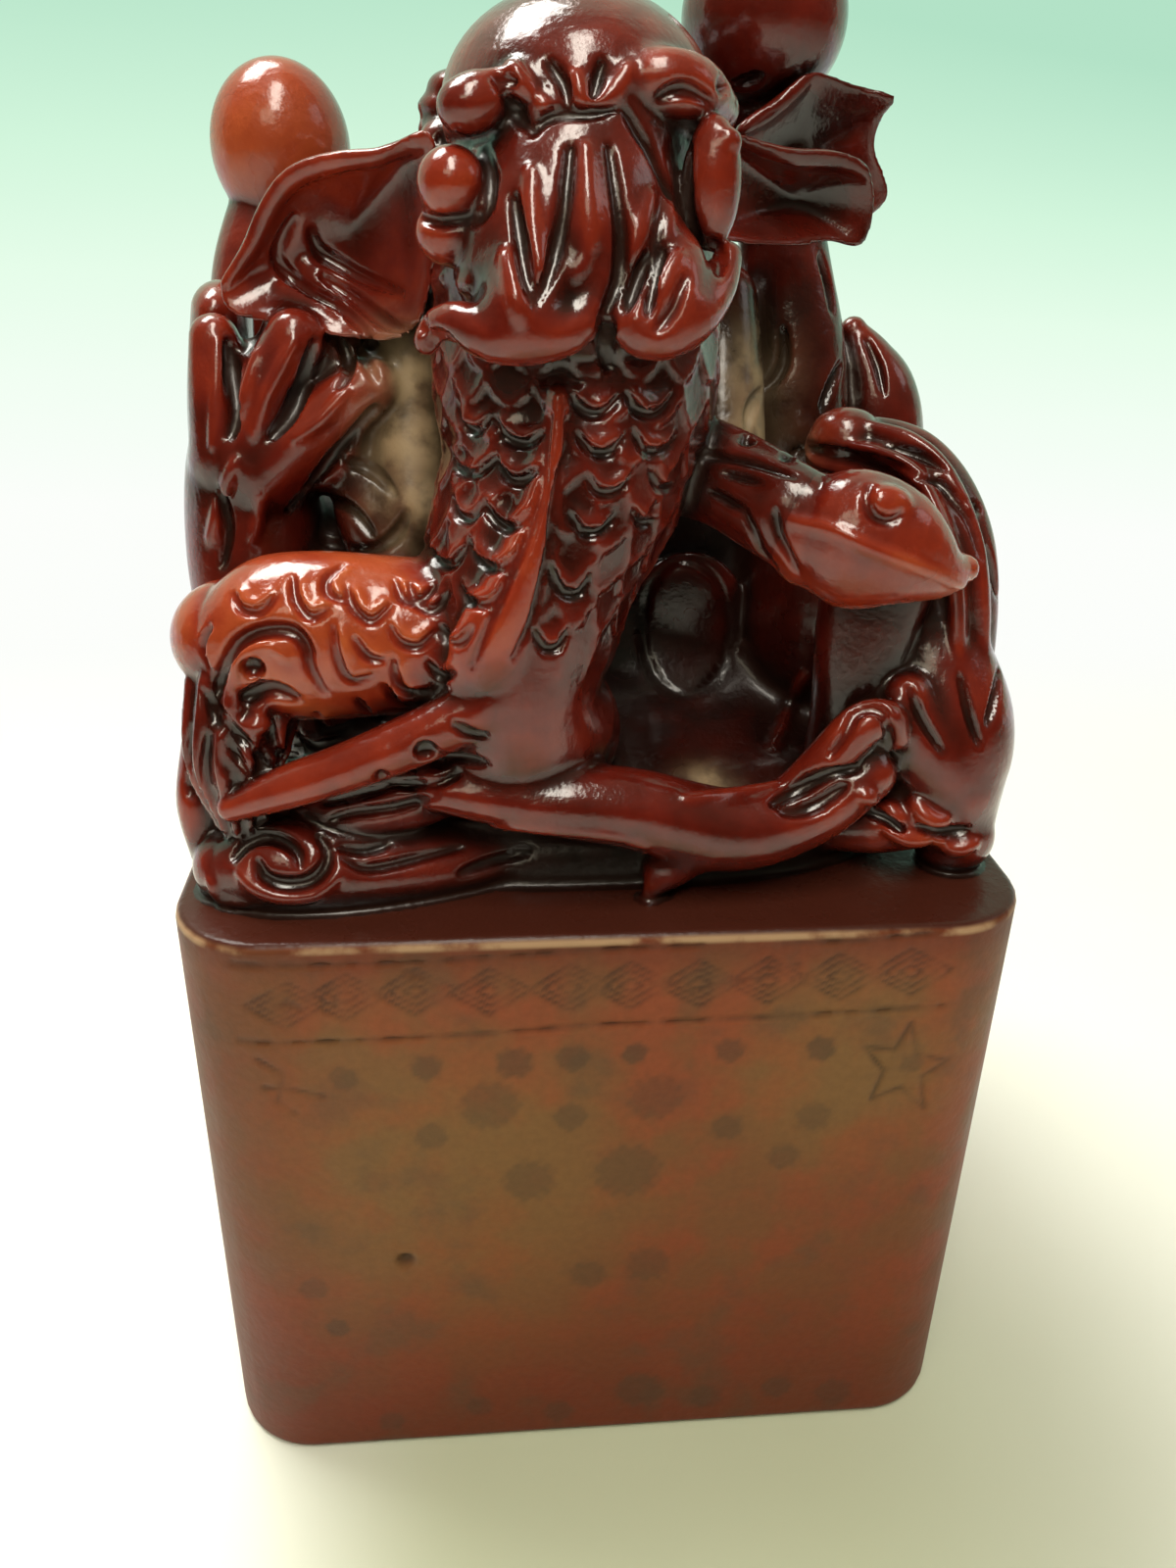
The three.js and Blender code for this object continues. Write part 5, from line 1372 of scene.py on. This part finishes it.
profile = sweep(0.55, 2.0, 0.4)
paper_points = [(x, y, z) for x in (-2.5, 2.5) for y, z in profile]
count = len(profile)
paper_mesh = bpy.data.meshes.new("paper")
paper_mesh.from_pydata(paper_points, [], [(n, n + count, n + count + 1, n + 1) for n in range(count - 1)])
paper_mesh.polygons.foreach_set("use_smooth", np.ones(count - 1, bool))
paper = added("paper", paper_mesh)
paper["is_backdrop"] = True

# %% The paper's look
sheet, tree, shader = material("sheet")
place = put(tree, "TexCoord").outputs["Object"]
axes = put(tree, "SeparateXYZ", {"Vector": place}).outputs
fibre = noise(tree, place, 60, 4)
# Painted shadow: close in front of the stamp the paper turns a darker olive, fading out to the sides and to the
# front.
near = between(tree, axes["Y"], 0.012, -0.03)
for axis, low, high in (("X", -0.036, -0.01), ("X", 0.07, 0.015), ("Y", -0.13, -0.055)):
    near = number(tree, "MULTIPLY", near, between(tree, axes[axis], low, high))
ground = blend(tree, near, (0.88, 0.9, 0.83), (0.56, 0.6, 0.43))
paper_and_shadow = blend(tree, 0.1, ground, ramp(tree, fibre, (0.3, (0.9, 0.9, 0.9)), (0.7, (1, 1, 1))), "MULTIPLY")
tree.links.new(paper_and_shadow, shader.inputs["Base Color"])
shader.inputs["Roughness"].default_value = 0.7
depth = number(tree, "MULTIPLY_ADD", number(tree, "MAXIMUM", axes["X"], 0), 0.1, axes["Y"])
mint = ramp(tree, number(tree, "MULTIPLY", depth, 2),
            (0.0, (0.99, 0.99, 0.97)), (0.5, (0.97, 0.99, 0.96)), (0.64, (0.88, 0.99, 0.89)),
            (0.74, (0.79, 0.98, 0.82)), (0.84, (0.65, 0.92, 0.72)), (0.97, (0.45, 0.76, 0.57)))
path = put(tree, "LightPath").outputs
shown = number(tree, "MAXIMUM", path["Is Camera Ray"], path["Is Glossy Ray"])
shown = number(tree, "MAXIMUM", shown, path["Is Transmission Ray"])
glow = put(tree, "Emission", {"Color": mint})
behind = number(tree, "MULTIPLY", shown, between(tree, axes["Y"], 0.03, 0.17))
away = put(tree, "VectorMath", {0: place}, operation="LENGTH").outputs["Value"]
around = number(tree, "MULTIPLY", path["Is Camera Ray"], between(tree, away, 0.2, 0.36))
mixed = put(tree, "MixShader", {0: number(tree, "MAXIMUM", behind, around)})
tree.links.new(shader.outputs[0], mixed.inputs[1])
tree.links.new(glow.outputs[0], mixed.inputs[2])
tree.links.new(mixed.outputs[0], tree.nodes["Material Output"].inputs["Surface"])
paper.data.materials.append(sheet)
print("paper of", count - 1, "strips")


# %% Lamps and room
def lamp(name, place, aim, size, watts, colour=(1, 1, 1)):
    """A rectangular lamp turned to shine from its place to the aim."""
    data = bpy.data.lights.new(name, "AREA")
    data.shape = "RECTANGLE"
    data.size, data.size_y = size
    data.energy = watts
    data.color = colour
    z = unit(np.subtract(place, aim))
    x = unit(np.cross(UP, z))
    set_down(added(name, data), x, np.cross(z, x), z, place)


lamp("key", (-0.17, 0.16, 0.5), (0, 0, 0.06), (0.28, 0.18), 2.6, (1, 0.98, 0.92))
lamp("window", (-0.01, -0.2, 0.46), (0, 0, 0.09), (0.1, 0.3), 1.5, (1, 0.94, 0.82))
lamp("front", (-0.12, -0.42, 0.38), (0, 0, 0.06), (0.2, 0.14), 0.3, (1, 0.9, 0.66))
lamp("fill", (0.42, -0.05, 0.36), (0, 0, 0.06), (0.16, 0.16), 0.1)
world = bpy.data.worlds.new("room")
bpy.context.scene.world = world
world.use_nodes = True
tree = world.node_tree
axes = put(tree, "SeparateXYZ", {"Vector": put(tree, "TexCoord").outputs["Generated"]}).outputs
back = between(tree, axes["Y"], -0.4, 0.8)
lift = between(tree, axes["Z"], -0.1, 0.9)
bright = number(tree, "MULTIPLY_ADD", back, 0.5, number(tree, "MULTIPLY_ADD", lift, 0.5, 0.18))
walls = ramp(tree, bright, (0.2, (0.03, 0.027, 0.015)), (1.0, (0.7, 0.74, 0.52)))
room = tree.nodes["Background"]
tree.links.new(walls, room.inputs["Color"])
room.inputs["Strength"].default_value = 0.4
path = put(tree, "LightPath").outputs
mirrored = number(tree, "MAXIMUM", path["Is Glossy Ray"], path["Is Transmission Ray"])
mirrored = number(tree, "MULTIPLY", mirrored, between(tree, axes["Y"], 0.2, 0.6))
pale = ramp(tree, axes["Z"], (0.1, (0.99, 0.99, 0.97)), (0.45, (0.72, 0.92, 0.78)))
pale = blend(tree, between(tree, axes["Y"], -0.05, 0.3), pale, (0.45, 0.76, 0.57))
pale = put(tree, "Background", {"Color": pale, "Strength": 1})
mixed = put(tree, "MixShader", {0: number(tree, "MAXIMUM", path["Is Camera Ray"], mirrored)})
tree.links.new(room.outputs[0], mixed.inputs[1])
tree.links.new(pale.outputs[0], mixed.inputs[2])
tree.links.new(mixed.outputs[0], tree.nodes["World Output"].inputs["Surface"])
bpy.context.scene.view_settings.view_transform = "Standard"
print("four lamps and a dim room")

# %% Sizes
({"cad": [list(corner) for corner in cad_box],
           "visual": [list(corner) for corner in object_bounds()]})
